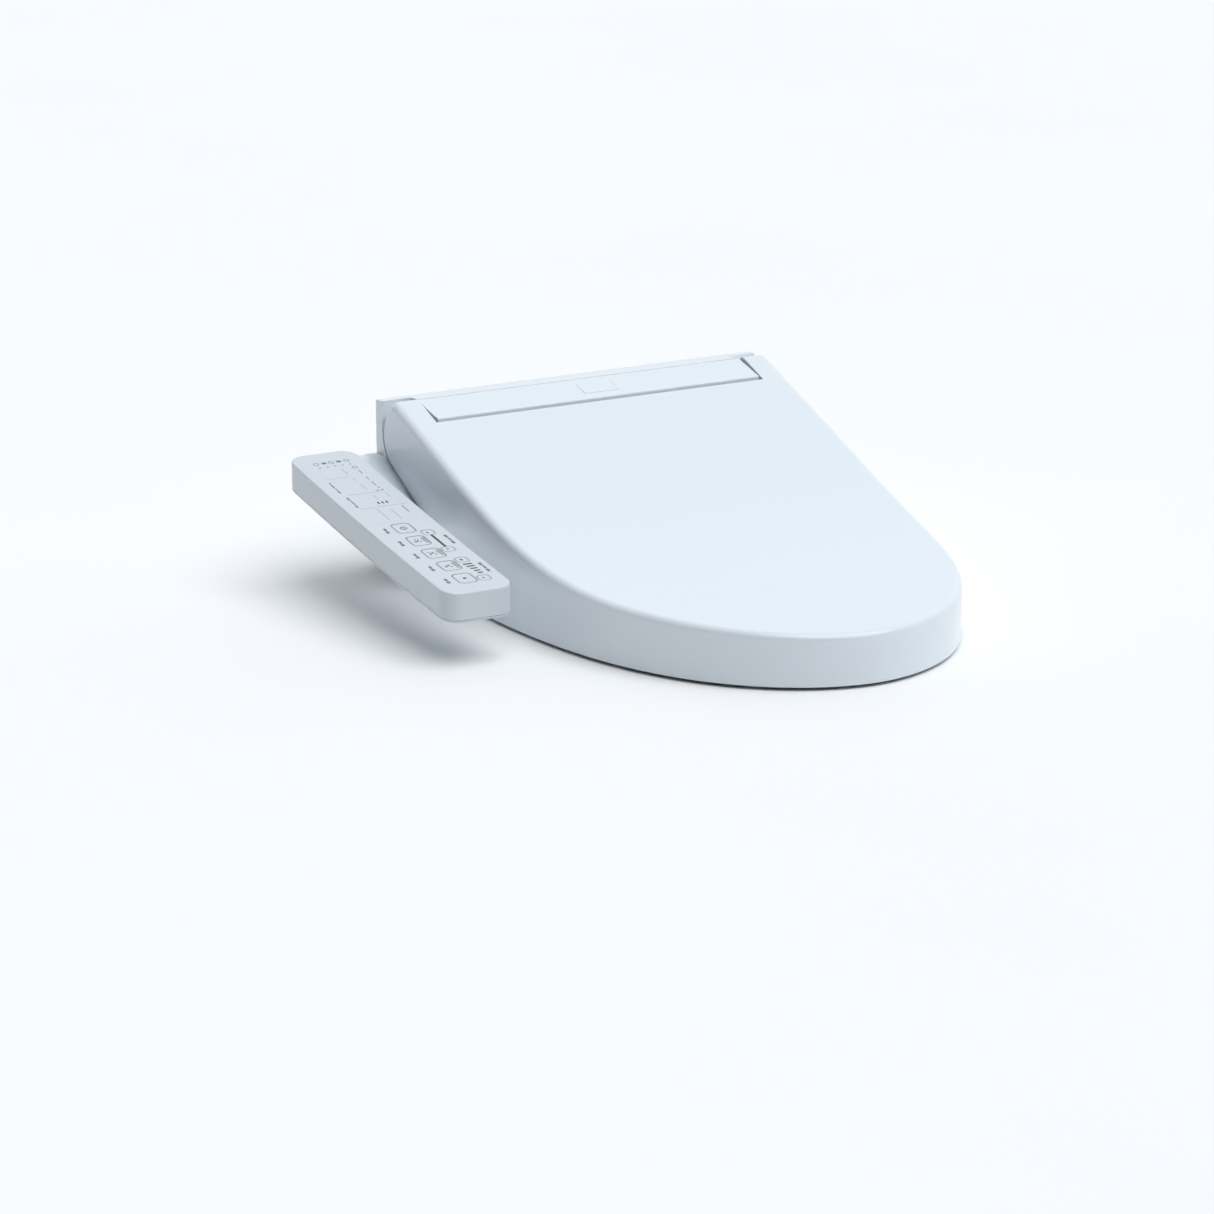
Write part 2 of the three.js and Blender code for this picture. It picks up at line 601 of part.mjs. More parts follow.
function addWorks() {
  add("heater_tank", waterHeater(), GREY);
  const coil = rodZ(VALVE_COIL.x, VALVE_COIL.y, VALVE_COIL.r, VALVE.z1 - 1, VALVE_COIL.z, 18);
  const valve = join(block(VALVE), coil);
  add("solenoid_valve", cut(valve, rodX(INLET.y, INLET.z, INLET.r + 1, -160, -150)), BRASS);
  const hose = [
    [VALVE_COIL.x, VALVE_COIL.y, VALVE_COIL.z + 0.8],
    [VALVE_COIL.x, VALVE_COIL.y - 1, 88],
    [-90, 2, 112],
    [-10, 4, 116],
    [60, -8, 116],
    [HEATER_PORT.x, HEATER_PORT.y + 2, 112],
    [HEATER_PORT.x, HEATER_PORT.y, HEATER_PORT.z + 0.6],
  ];
  add("water_hose", tube(hose, 3.2), RUBBER);
  add("main_board", block(MAIN_BOARD), BOARD);
  add("power_module", block(POWER_MODULE), DARK);
  add("fan_case", blowerCase(), GREY);
  add("fan_impeller", impeller(), SATIN_WHITE);
  const { x0, y0, y1, z0, z1 } = FILTER;
  const grip = box(185, 189, y0 + 8, y1 - 8, z0 + 5, z1 - 5);
  add("filter_cartridge", cut(box(x0, 188, y0, y1, z0, z1), grip), SATIN_WHITE);
  const knob = join(
    rodX(DRAIN.y, DRAIN.z, DRAIN.r, -196, -188, 18),
    rodX(DRAIN.y, DRAIN.z, 4, -189, -162, 12),
    box(-200, -195, DRAIN.y - 9, DRAIN.y + 9, DRAIN.z - 2, DRAIN.z + 2),
  );
  add("drain_knob", knob, SATIN_WHITE);
  const inletBody = join(
    rodX(INLET.y, INLET.z, INLET.r, -207, -166, 18),
    rodX(INLET.y, INLET.z, INLET.r + 3, -196, -192.2, 18),
  );
  add("water_inlet", cut(inletBody, rodX(INLET.y, INLET.z, 4.5, -208, -180, 14)), BRASS);
  const gland = join(
    rodX(GLAND.y, GLAND.z, GLAND.r, 166, 200, 16),
    rodX(GLAND.y, GLAND.z, GLAND.r + 3, 192.2, 196, 16),
  );
  add("cable_gland", cut(gland, rodX(GLAND.y, GLAND.z, 4, 160, 201, 12)), DARK);
  const { y, z, w, h } = RELEASE;
  const button = alongX(roundRect(y - w / 2, y + w / 2, z - h / 2, z + h / 2, 3), 184, 193.5, 3);
  add("release_button", button, SATIN_WHITE);
}

// ---- control arm ---------------------------------------------------------------------------------

// Height of the arm's slightly dished top face.
const ARM_TOP = { rear: 113.7, middle: 84.8, front: 64.9 };
function armTop(y) {
  const t = (ARM.y1 - y) / (ARM.y1 - ARM.y0);
  return ARM_TOP.rear * (1 - t) ** 2 + 2 * ARM_TOP.middle * t * (1 - t) + ARM_TOP.front * t * t;
}
const armTilt = (y) => Math.atan((armTop(y + 1) - armTop(y - 1)) / 2);

// A slice of the arm between two depths below its top face.
function armSlice(inset, above, below, steps = 8) {
  const outline = roundRect(
    ARM.x0 + inset,
    ARM.x1 - inset,
    ARM.y0 + inset,
    ARM.y1 - inset,
    ARM.r - inset,
  );
  const upper = [];
  for (let i = 0; i <= steps; i++) {
    const y = mix(ARM.y0 - 5, ARM.y1 + 5, i / steps);
    upper.push([y, armTop(y)]);
  }
  const lower = upper.map(([y, z]) => [y, z - below]).reverse();
  const side = [...upper.map(([y, z]) => [y, z - above]), ...lower];
  return alongZ(outline, 0, 160, 5).intersect(alongX(side, ARM.x0 - 5, ARM.x1 + 5));
}

// Every key: its name, its place on the arm and its size.
const keys = [
  ["key_stop", 0],
  ["key_rear", 1],
  ["key_soft", 2],
  ["key_front", 3],
  ["key_dryer", 4],
].map(([name, row]) => ({ name, x: KEY.x, y: KEY.y + row * KEY.pitch, w: KEY.w, l: KEY.l }));
for (const [name, y] of [
  ["key_pressure_down", -241.5],
  ["key_pressure_up", -202],
  ["key_position_forward", -178],
  ["key_position_back", -141],
]) {
  keys.push({ name, x: SMALL_KEY.x, y, w: SMALL_KEY.w, l: SMALL_KEY.l });
}

// A rounded key, or with a margin the hole round it, standing square to the dished top face.
function keyBlock({ x, y, w, l }, margin, low, high) {
  const [a, b] = [w / 2 + margin, l / 2 + margin];
  const shape = roundRect(-a, a, -b, b, Math.min(a, b) * 0.45);
  const place = new THREE.Matrix4()
    .makeRotationX(armTilt(y))
    .setPosition(x, y, armTop(y))
    .multiply(new THREE.Matrix4().makeTranslation(0, 0, low));
  return extrude(shape, high - low, place, 2);
}

function addArm() {
  const holes = keys.map((key) => keyBlock(key, 0.4, -20, 6));
  const recess = armSlice(5, -2, 0.8).intersect(box(-300, -200, -112, 60, 0, 130));
  const hollow = armSlice(2.4, 3, ARM_SPLIT + 2);
  add("arm_upper_shell", cut(armSlice(0, 0, ARM_SPLIT), hollow, recess, ...holes), WHITE);
  add("arm_bottom_cover", armSlice(0, ARM_SPLIT + FIT, ARM.t), WHITE);
  const sheet = armSlice(5.4, 0.05, 0.45).intersect(box(-300, -200, -111.6, 60, 0, 130));
  add("status_sheet", sheet, SHEET);
  add("control_board", armSlice(7, 11.5, 13, 4), BOARD);
  for (const key of keys) {
    add(key.name, keyBlock(key, 0, -8.6, 0.15), SHEET);
  }
}

// Upper edge of the housing's side wall, which the lid's ear and sloping edge follow.
function cheekEdge(y) {
  const r = EAR.r + EAR_GAP;
  const low = -Math.PI / 2 + Math.atan(DIAGONAL);
  const start = { y: EAR.y + r * Math.cos(low), z: EAR.z + r * Math.sin(low) };
  if (y < start.y) return start.z + DIAGONAL * (y - start.y);
  return EAR.z - Math.sqrt(Math.max(r * r - (y - EAR.y) ** 2, 0));
}

// A closed solid through cross-sections that each have the same number of corners.
function loft(sections) {
  const size = sections[0].length;
  const faces = [];
  for (let i = 0; i + 1 < sections.length; i++) {
    for (let k = 0; k < size; k++) {
      const up = (k + 1) % size;
      const [a, b, c, d] = [i * size + k, i * size + up, i * size + size + up, i * size + size + k];
      faces.push(a, b, c, a, c, d);
    }
  }
  const last = (sections.length - 1) * size;
  for (let k = 1; k + 1 < size; k++) {
    faces.push(0, k + 1, k, last, last + k, last + k + 1);
  }
  const geometry = new THREE.BufferGeometry();
  geometry.setAttribute("position", new THREE.Float32BufferAttribute(sections.flat(2), 3));
  geometry.setIndex(faces);
  return solid(geometry);
}

// Hollow bridge from the arm down to the upper edge of the housing's side wall.
function armNeck() {
  const [armX, caseX] = [ARM.x1 + FIT, -HALF_W];
  const section = (y, inset, out, drop) => {
    const high = armTop(y) - 5 - inset;
    const low = Math.min(cheekEdge(y), NECK.rearZ) - 1.5 - inset;
    const sag = mix(high, low, 0.62) - 2;
    return [
      [armX + out, y, NECK.z - drop],
      [caseX - out, y, NECK.z - drop],
      [caseX - out, y, low],
      [mix(armX, caseX, 0.5), y, sag],
      [armX + out, y, high],
    ];
  };
  const stations = (from, to, ...rest) => {
    const count = 8;
    return Array.from({ length: count + 1 }, (_, i) => section(mix(from, to, i / count), ...rest));
  };
  const block = loft(stations(NECK.y1, NECK.y0, 0, 0, 0));
  return cut(block, loft(stations(NECK.y1 - 3, NECK.y0 + 3, 3, 3, 10)));
}

addHousing();
addHinges();
addWand();
addWorks();
addSeat();
addLid();
addArm();
add("arm_neck", armNeck(), WHITE);

export default seat;
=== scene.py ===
"""Looks of an electric bidet seat with a control arm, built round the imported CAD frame.

Lengths are millimetres until a mesh is made, and +Z is up. z = 0 is the bowl's rim, x = 0 the plane of
symmetry, and the user faces -Y. The shapes repeat the CAD model's driving dimensions.
"""
import json
import math
from collections import namedtuple

import bmesh
import bpy
from mathutils import Matrix, Vector


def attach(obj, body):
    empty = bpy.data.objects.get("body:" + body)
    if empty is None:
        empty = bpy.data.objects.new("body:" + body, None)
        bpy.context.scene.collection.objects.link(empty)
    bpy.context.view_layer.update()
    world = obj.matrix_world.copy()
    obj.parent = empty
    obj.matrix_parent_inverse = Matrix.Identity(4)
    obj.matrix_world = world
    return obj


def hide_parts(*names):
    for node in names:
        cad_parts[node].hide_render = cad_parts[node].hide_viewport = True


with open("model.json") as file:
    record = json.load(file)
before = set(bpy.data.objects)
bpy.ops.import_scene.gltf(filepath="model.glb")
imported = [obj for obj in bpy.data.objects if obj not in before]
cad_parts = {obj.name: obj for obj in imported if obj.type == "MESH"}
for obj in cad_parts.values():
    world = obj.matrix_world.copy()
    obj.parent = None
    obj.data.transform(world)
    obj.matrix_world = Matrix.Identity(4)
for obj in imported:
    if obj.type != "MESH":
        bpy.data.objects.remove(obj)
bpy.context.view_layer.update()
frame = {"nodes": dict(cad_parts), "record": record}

MM = 0.001

# Driving dimensions, as in the CAD model
NOSE_Y = -472
HALF_W = 191.7
LID_T = 3.5
LID_BOTTOM_Z = 3
LID_D = 415
HINGE = (18, 129.5)  # y and z of the axis shared by the seat and the lid
BOSS_R = 9.5  # the seat's and the lid's bosses round it
BORE_R = 3.6
EAR = (13, 125)  # y and z of the centre of the lid's round rear end
EAR_R = 31.5
EAR_GAP = 2.3
DIAGONAL = 0.51  # slope of the lower edge of the lid's sides
EAR_LOW = math.radians(-90) + math.atan(DIAGONAL)  # where on the ear that edge starts
STRIP_HALF = 165.2
STRIP = ((-8, 143.5), (29.8, 152.4))  # y and z of the strip's front and rear edges
STRIP_T = 4.4
WINDOW = (-11, 24, 2, 20.5)  # x from and to, y from and to
FIT = 0.35

ARM_X = (-289.5, -225)
ARM_Y = (-265, 38)
ARM_TOP = (113.7, 84.8, 64.9)  # heights that its dished top bends between, from the rear
ARM_R = 15
ARM_T = 26
ARM_SPLIT = 23.4
ARM_EDGE_R = 1.5
NECK_Y = (-34, 52)
NECK_Z = 55
NECK_REAR_Z = 102.5


# ---- mesh helpers --------------------------------------------------------------------------------

def mix(a, b, t):
    return a + (b - a) * t


def smooth_step(a, b, v):
    t = min(max((v - a) / (b - a), 0), 1)
    return t * t * (3 - 2 * t)


def make(name, points, faces, sharp=35):
    """A closed mesh object from points in millimetres."""
    mesh = bpy.data.meshes.new(name)
    mesh.from_pydata([[c * MM for c in p] for p in points], [], faces)
    bm = bmesh.new()
    bm.from_mesh(mesh)
    bmesh.ops.remove_doubles(bm, verts=bm.verts, dist=0.002 * MM)
    bmesh.ops.dissolve_degenerate(bm, edges=bm.edges, dist=0.001 * MM)
    bmesh.ops.recalc_face_normals(bm, faces=bm.faces)
    bm.to_mesh(mesh)
    bm.free()
    obj = bpy.data.objects.new(name, mesh)
    bpy.context.scene.collection.objects.link(obj)
    shade(obj, sharp)
    return obj


def shade(obj, sharp=35):
    """Smooth shading, with an edge kept sharp where its faces turn by more than the angle."""
    mesh = obj.data
    mesh.polygons.foreach_set("use_smooth", [True] * len(mesh.polygons))
    mesh.set_sharp_from_angle(angle=math.radians(sharp))


def weigh_normals(obj):
    modifier = obj.modifiers.new("weighted_normals", "WEIGHTED_NORMAL")
    modifier.keep_sharp = True
    modifier.weight = 100


def bevel(obj, width, segments=2, angle=35):
    modifier = obj.modifiers.new("edges", "BEVEL")
    modifier.width = width * MM
    modifier.segments = segments
    modifier.limit_method = "ANGLE"
    modifier.angle_limit = math.radians(angle)
    modifier.use_clamp_overlap = True


def bake(obj):
    """Applies the object's modifiers to its mesh."""
    evaluated = obj.evaluated_get(bpy.context.evaluated_depsgraph_get())
    mesh = bpy.data.meshes.new_from_object(evaluated)
    obj.modifiers.clear()
    obj.data = mesh
    shade(obj)
    return obj


def cut(obj, *tools):
    for tool in tools:
        modifier = obj.modifiers.new("cut", "BOOLEAN")
        modifier.operation = "DIFFERENCE"
        modifier.solver = "EXACT"
        modifier.object = tool
    bake(obj)
    for tool in tools:
        bpy.data.objects.remove(tool)
    return obj


def join(name, *objects):
    """One object that holds the meshes of several."""
    bm = bmesh.new()
    for obj in objects:
        bm.from_mesh(obj.data)
    mesh = bpy.data.meshes.new(name)
    bm.to_mesh(mesh)
    bm.free()
    for obj in objects:
        bpy.data.objects.remove(obj)
    joined = bpy.data.objects.new(name, mesh)
    bpy.context.scene.collection.objects.link(joined)
    return joined


def round_outline(x0, x1, y0, y1, r):
    """A rectangle with round corners, anticlockwise."""
    points = []
    steps = 8
    corners = ((x1 - r, y0 + r, -90), (x1 - r, y1 - r, 0), (x0 + r, y1 - r, 90), (x0 + r, y0 + r, 180))
    for cx, cy, start in corners:
        for i in range(steps + 1):
            a = math.radians(start + 90 * i / steps)
            points.append((cx + r * math.cos(a), cy + r * math.sin(a)))
    return points


def inset_outline(points, distance):
    """The outline moved inwards. Its points run anticlockwise."""
    count = len(points)
    moved = []
    for i in range(count):
        (x0, y0), (x1, y1) = points[i - 1], points[(i + 1) % count]
        length = math.hypot(x1 - x0, y1 - y0)
        x, y = points[i]
        moved.append((x - distance * (y1 - y0) / length, y + distance * (x1 - x0) / length))
    return moved


def slab(outline, low, high, top_r=0.0):
    """Points and faces of a flat prism whose upper edge may be rounded."""
    levels = [(0, low)]
    steps = 3
    for i in range(steps + 1 if top_r else 1):
        a = math.pi / 2 * (1 - i / steps)
        levels.append((top_r * (1 - math.sin(a)), high - top_r * (1 - math.cos(a))))
    size = len(outline)
    points = []
    for inset, z in levels:
        ring = inset_outline(outline, inset) if inset else outline
        points += [(x, y, z) for x, y in ring]
    faces = [tuple(reversed(range(size)))]
    for level in range(len(levels) - 1):
        for k in range(size):
            a, b = level * size + k, level * size + (k + 1) % size
            faces.append((a, b, b + size, a + size))
    faces.append(tuple(range((len(levels) - 1) * size, len(levels) * size)))
    return points, faces


def collect(parts):
    """One list of points and one of faces from several."""
    points, faces = [], []
    for some_points, some_faces in parts:
        start = len(points)
        points += some_points
        faces += [tuple(start + i for i in face) for face in some_faces]
    return points, faces


def along_x(outline, x0, x1):
    """An outline in (y, z) swept along X."""
    size = len(outline)
    points = [(x, y, z) for x in (x0, x1) for y, z in outline]
    faces = [tuple(reversed(range(size))), tuple(range(size, 2 * size))]
    faces += [(k, (k + 1) % size, size + (k + 1) % size, size + k) for k in range(size)]
    return points, faces


def drum_x(y, z, r, x0, x1, bore=0.0, sides=48):
    """A round bar along X, or a ring where it has a bore."""
    turns = [2 * math.pi * i / sides for i in range(sides)]
    outer = [(y + r * math.cos(a), z + r * math.sin(a)) for a in turns]
    if not bore:
        return along_x(outer, x0, x1)
    inner = [(y + bore * math.cos(a), z + bore * math.sin(a)) for a in turns]
    points = [(x, *p) for x in (x0, x1) for ring in (outer, inner) for p in ring]
    faces = []
    for k in range(sides):
        n = (k + 1) % sides
        o0, i0, o1, i1 = k, sides + k, 2 * sides + k, 3 * sides + k
        on, jn, pn, qn = n, sides + n, 2 * sides + n, 3 * sides + n
        faces += [(o0, on, pn, o1), (i0, i1, qn, jn), (o0, i0, jn, on), (o1, pn, qn, i1)]
    return points, faces


# ---- materials -----------------------------------------------------------------------------------

def new_material(name, roughness, metallic=0.0, specular=0.5, coat=0.0):
    material = bpy.data.materials.new(name)
    material.use_nodes = True
    shader = material.node_tree.nodes["Principled BSDF"]
    shader.inputs["Roughness"].default_value = roughness
    shader.inputs["Metallic"].default_value = metallic
    shader.inputs["Specular IOR Level"].default_value = specular
    shader.inputs["Coat Weight"].default_value = coat
    shader.inputs["Coat Roughness"].default_value = 0.08
    return material, material.node_tree, shader


def noise(tree, scale, detail=3.0, stretch=(1, 1, 1)):
    """The factor socket of a noise in the object's own coordinates, which the poses don't slide."""
    place = tree.nodes.new("ShaderNodeTexCoord")
    mapping = tree.nodes.new("ShaderNodeMapping")
    mapping.inputs["Scale"].default_value = stretch
    texture = tree.nodes.new("ShaderNodeTexNoise")
    texture.inputs["Scale"].default_value = scale
    texture.inputs["Detail"].default_value = detail
    tree.links.new(place.outputs["Object"], mapping.inputs["Vector"])
    tree.links.new(mapping.outputs["Vector"], texture.inputs["Vector"])
    return texture.outputs["Fac"]


def ramp(tree, factor, low, high, from_low=0.3, from_high=0.7):
    node = tree.nodes.new("ShaderNodeMapRange")
    node.clamp = False
    node.inputs["From Min"].default_value = from_low
    node.inputs["From Max"].default_value = from_high
    node.inputs["To Min"].default_value = low
    node.inputs["To Max"].default_value = high
    tree.links.new(factor, node.inputs["Value"])
    return node.outputs["Result"]


def blend_colours(tree, factor, one, two):
    node = tree.nodes.new("ShaderNodeMix")
    node.data_type = "RGBA"
    node.inputs["A"].default_value = (*one, 1)
    node.inputs["B"].default_value = (*two, 1)
    tree.links.new(factor, node.inputs["Factor"])
    return node.outputs["Result"]


def bumps(tree, shader, height, distance, strength):
    node = tree.nodes.new("ShaderNodeBump")
    node.inputs["Strength"].default_value = strength
    node.inputs["Distance"].default_value = distance
    tree.links.new(height, node.inputs["Height"])
    tree.links.new(node.outputs["Normal"], shader.inputs["Normal"])


def moulded(name, colour, roughness, spread=0.006, depth=0.01, coat=0.0):
    """Moulded plastic: a slow drift of tint and gloss over the piece, and a fine surface texture."""
    material, tree, shader = new_material(name, roughness, coat=coat)
    cool = tuple(c * (1 - spread) for c in colour)
    warm = (min(colour[0] * (1 + spread), 1), colour[1], colour[2] * (1 - spread / 2))
    tint = blend_colours(tree, ramp(tree, noise(tree, 6, 1), 0, 1, 0.1, 0.9), cool, warm)
    tree.links.new(tint, shader.inputs["Base Color"])
    gloss = ramp(tree, noise(tree, 14, 1), roughness * 0.92, roughness * 1.08, 0.1, 0.9)
    tree.links.new(gloss, shader.inputs["Roughness"])
    bumps(tree, shader, noise(tree, 420, 1), 0.0001, depth)
    return material


def metal(name, colour, roughness, stretch):
    """Turned or ground metal, with fine marks along one direction."""
    material, tree, shader = new_material(name, roughness, metallic=1.0)
    dark = tuple(c * 0.82 for c in colour)
    lines = noise(tree, 300, 5, stretch)
    tint = blend_colours(tree, ramp(tree, lines, 0, 1), dark, colour)
    tree.links.new(tint, shader.inputs["Base Color"])
    tree.links.new(ramp(tree, lines, roughness * 0.8, roughness * 1.3), shader.inputs["Roughness"])
    bumps(tree, shader, lines, 0.0001, 0.15)
    return material


def rubber(name, colour):
    material, tree, shader = new_material(name, 0.8, specular=0.3)
    pale = tuple(min(c * 1.12, 1) for c in colour)
    speckle = ramp(tree, noise(tree, 60, 4), 0, 1)
    tree.links.new(blend_colours(tree, speckle, colour, pale), shader.inputs["Base Color"])
    bumps(tree, shader, noise(tree, 2500, 2), 0.0002, 0.25)
    return material


def board(name):
    """Circuit board: green mask over a grid of copper tracks."""
    material, tree, shader = new_material(name, 0.35)
    place = tree.nodes.new("ShaderNodeTexCoord")
    brick = tree.nodes.new("ShaderNodeTexBrick")
    brick.inputs["Scale"].default_value = 160
    brick.inputs["Color1"].default_value = (0.02, 0.13, 0.06, 1)
    brick.inputs["Color2"].default_value = (0.03, 0.16, 0.08, 1)
    brick.inputs["Mortar"].default_value = (0.10, 0.26, 0.12, 1)
    brick.inputs["Mortar Size"].default_value = 0.012
    tree.links.new(place.outputs["Object"], brick.inputs["Vector"])
    tree.links.new(brick.outputs["Color"], shader.inputs["Base Color"])
    bumps(tree, shader, brick.outputs["Fac"], 0.0002, 0.2)
    return material


WHITE = (0.79, 0.86, 0.915)
MATERIALS = {
    "white_gloss": moulded("white_gloss_plastic", WHITE, 0.25, coat=0.25),
    "white_satin": moulded("white_satin_plastic", (0.75, 0.81, 0.86), 0.42, depth=0.03),
    "panel_print": moulded("panel_sheet", (0.65, 0.705, 0.755), 0.3, depth=0.02),
    "grey_plastic": moulded("grey_plastic", (0.27, 0.29, 0.31), 0.5, spread=0.05, depth=0.12),
    "dark_plastic": moulded("dark_plastic", (0.03, 0.033, 0.037), 0.45, spread=0.1, depth=0.12),
    "soft_rubber": rubber("soft_rubber", (0.44, 0.47, 0.49)),
    "steel": metal("ground_steel", (0.58, 0.59, 0.60), 0.28, (0.05, 1, 1)),
    "brass": metal("turned_brass", (0.62, 0.48, 0.22), 0.3, (0.05, 1, 1)),
    "circuit_board": board("circuit_board"),
    "heater_foil": metal("heater_foil", (0.66, 0.64, 0.61), 0.35, (1, 1, 1)),
}
# The arm, its cover and the neck get a darker copy of the white gloss plastic: painted shade for the
# shade that falls on the arm where it lies low beside the lid
ARM_SHADED_PLASTIC = moulded("arm_shaded_plastic", (0.65, 0.705, 0.755), 0.3, coat=0.15)
DARK_INK = moulded("panel_ink", (0.035, 0.045, 0.06), 0.45, spread=0.15)
GREY_INK = moulded("panel_grey_ink", (0.15, 0.18, 0.21), 0.45, spread=0.08)
PALE_INK = moulded("panel_pale_ink", (0.33, 0.37, 0.41), 0.45, spread=0.05)


def dress(obj, material):
    obj.data.materials.clear()
    obj.data.materials.append(material)


def place(obj, body, slot, *nodes, material=None):
    """Puts a new piece on its body, in place of CAD nodes if it names any."""
    dress(obj, material or MATERIALS[slot])
    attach(obj, body)
    if nodes:
        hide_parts(*nodes)
    return obj


# ---- lid -----------------------------------------------------------------------------------------

LID_EDGE_R = 6.6  # round edge between the lid's top and sides
EAR_EDGE_END = 0.4  # what it shrinks to at the lower end of the ear
CORNER_R = 4.0  # round edge between the lid's top and the ear
ARC_STEPS = 7
PLAN_POWERS = (3.17, 1.87)  # of the superellipse in plan, along the lid and across it
BEND = (135, 331)  # distances behind the nose between which the top bends
FRONT_TOP = (46.8, 0.046)  # height at the nose and slope of the top's front part
REAR_TOP = (-28.65, 0.3675)  # the same for its rear part
CORNER_D = LID_D - 99.8  # distance behind the nose where the lower edge starts to rise
CUT_Y = -11  # front edge of the recess for the strip
LID_COLUMNS = (182, 166.7, 150, 120, 90, 60, 30, 0)
FULL_COLUMNS = 2  # the columns outside the recess
WALL_ROWS = 3
DIAGONAL_STEPS = 5

# A place along the lid's right edge: a point on the edge, the outward directions of side and top, the
# radius of the edge, and whether it's on the ear
Station = namedtuple("Station", "edge out top r on_ear")


def lid_half_width(d):
    along = min(max(1 - d / LID_D, 0), 1)
    return HALF_W * (1 - along ** PLAN_POWERS[0]) ** (1 / PLAN_POWERS[1])


def lid_top(y):
    """Height and slope of the lid's top above y."""
    d = y - NOSE_Y
    (z0, s0), (z1, s1) = FRONT_TOP, REAR_TOP
    if d <= BEND[0]:
        return z0 + s0 * d, s0
    if d >= BEND[1]:
        return z1 + s1 * d, s1
    meet = (z0 - z1) / (s1 - s0)
    a = BEND[0] - 2 * meet + BEND[1]
    b = 2 * (meet - BEND[0])
    t = (-b + math.sqrt(b * b - 4 * a * (BEND[0] - d))) / (2 * a) if abs(a) > 1e-6 else (d - BEND[0]) / b
    low, mid, high = z0 + s0 * BEND[0], z0 + s0 * meet, z1 + s1 * BEND[1]
    z = (1 - t) ** 2 * low + 2 * t * (1 - t) * mid + t * t * high
    return z, mix(s0, s1, t)


def diagonal_z(y):
    """Height of the sloping lower edge of the lid's sides."""
    end_y, end_z = EAR[0] + EAR_R * math.cos(EAR_LOW), EAR[1] + EAR_R * math.sin(EAR_LOW)
    return end_z + DIAGONAL * (y - end_y)


def plan_normal(d):
    """Outward direction of the lid's plan at a distance behind the nose."""
    if d <= 0:
        return Vector((0, -1, 0))
    step = min(0.01, d / 2)
    run = lid_half_width(d + step) - lid_half_width(d - step)
    return Vector((2 * step, -run, 0)).normalized()


def lid_stations():
    """Places along the lid's right edge, from the nose to the lower end of the ear."""
    rows = 34  # closer together towards the nose
    distances = sorted([LID_D * (i / rows) ** 1.9 for i in range(rows + 1)] + [CORNER_D])
    stations = []
    for d in distances:
        y = NOSE_Y + d
        z, slope = lid_top(y)
        top = Vector((0, -slope, 1)).normalized()
        edge = Vector((lid_half_width(d), y, z))
        stations.append(Station(edge, plan_normal(d), top, LID_EDGE_R, False))
    side = Vector((1, 0, 0))
    for y in (-45, -34, -22, CUT_Y, -2, 8):
        z, slope = lid_top(y)
        top = Vector((0, -slope, 1)).normalized()
        stations.append(Station(Vector((HALF_W, y, z)), side, top, LID_EDGE_R, True))
    slope = math.atan(REAR_TOP[1])
    reach = EAR_R - CORNER_R
    rise = (lid_top(EAR[0])[0] - EAR[1]) * math.cos(slope) - CORNER_R
    turn = slope + math.atan2(rise, math.sqrt(reach ** 2 - rise ** 2))
    centre = Vector((HALF_W, EAR[0] + reach * math.cos(turn), EAR[1] + reach * math.sin(turn)))
    corner_steps, ear_steps = 6, 22
    for i in range(corner_steps):
        a = mix(slope + math.pi / 2, turn, i / corner_steps)
        top = Vector((0, math.cos(a), math.sin(a)))
        stations.append(Station(centre + CORNER_R * top, side, top, LID_EDGE_R, True))
    for i in range(ear_steps + 1):
        a = mix(turn, EAR_LOW, i / ear_steps)
        top = Vector((0, math.cos(a), math.sin(a)))
        r = mix(LID_EDGE_R, EAR_EDGE_END, smooth_step(0.05, 0.95, i / ear_steps))
        stations.append(Station(Vector((HALF_W, *EAR)) + EAR_R * top, side, top, r, True))
    return stations


def lid_walls(stations):
    """The lid's faces, by the keys of their corners. Both of its skins have the same faces."""
    ear = next(i for i, s in enumerate(stations) if s.on_ear)
    cut_row = next(i for i, s in enumerate(stations) if s.edge.y >= CUT_Y - 0.01)
    flange_end = next(i for i, s in enumerate(stations) if s.top.z < 0.1 and s.on_ear)
    last = len(stations) - 1
    faces = []
    for side in (-1, 1):
        def key(i, kind, k):
            on_axis = i == 0 or (kind == "top" and LID_COLUMNS[k] == 0)
            return (0 if on_axis else side, i, kind, k if i or kind != "top" else 0)
        for i in range(last):
            down = [("arc", k) for k in range(ARC_STEPS + 1)]
            if i < ear - 1:
                down += [("wall", k) for k in range(WALL_ROWS)]
            for a, b in zip(down, down[1:]):
                faces.append([key(i, *a), key(i, *b), key(i + 1, *b), key(i + 1, *a)])
            columns = len(LID_COLUMNS)
            if i >= cut_row:
                columns = FULL_COLUMNS if i < flange_end else 1
            inwards = [("arc", 0)] + [("top", k) for k in range(columns)]
            for a, b in zip(inwards, inwards[1:]):
                faces.append([key(i, *a), key(i + 1, *a), key(i + 1, *b), key(i, *b)])
        panel = [key(i, "arc", ARC_STEPS) for i in range(ear - 1, last + 1)]
        panel += [(side, i, "diagonal", 0) for i in range(DIAGONAL_STEPS + 1)]
        panel += [key(ear - 1, "wall", k) for k in reversed(range(WALL_ROWS))]
        faces.append(panel)
    unique = []
    for face in faces:
        corners = [k for n, k in enumerate(face) if k != face[n - 1]]
        if len(set(corners)) >= 3:
            unique.append(corners)
    return unique


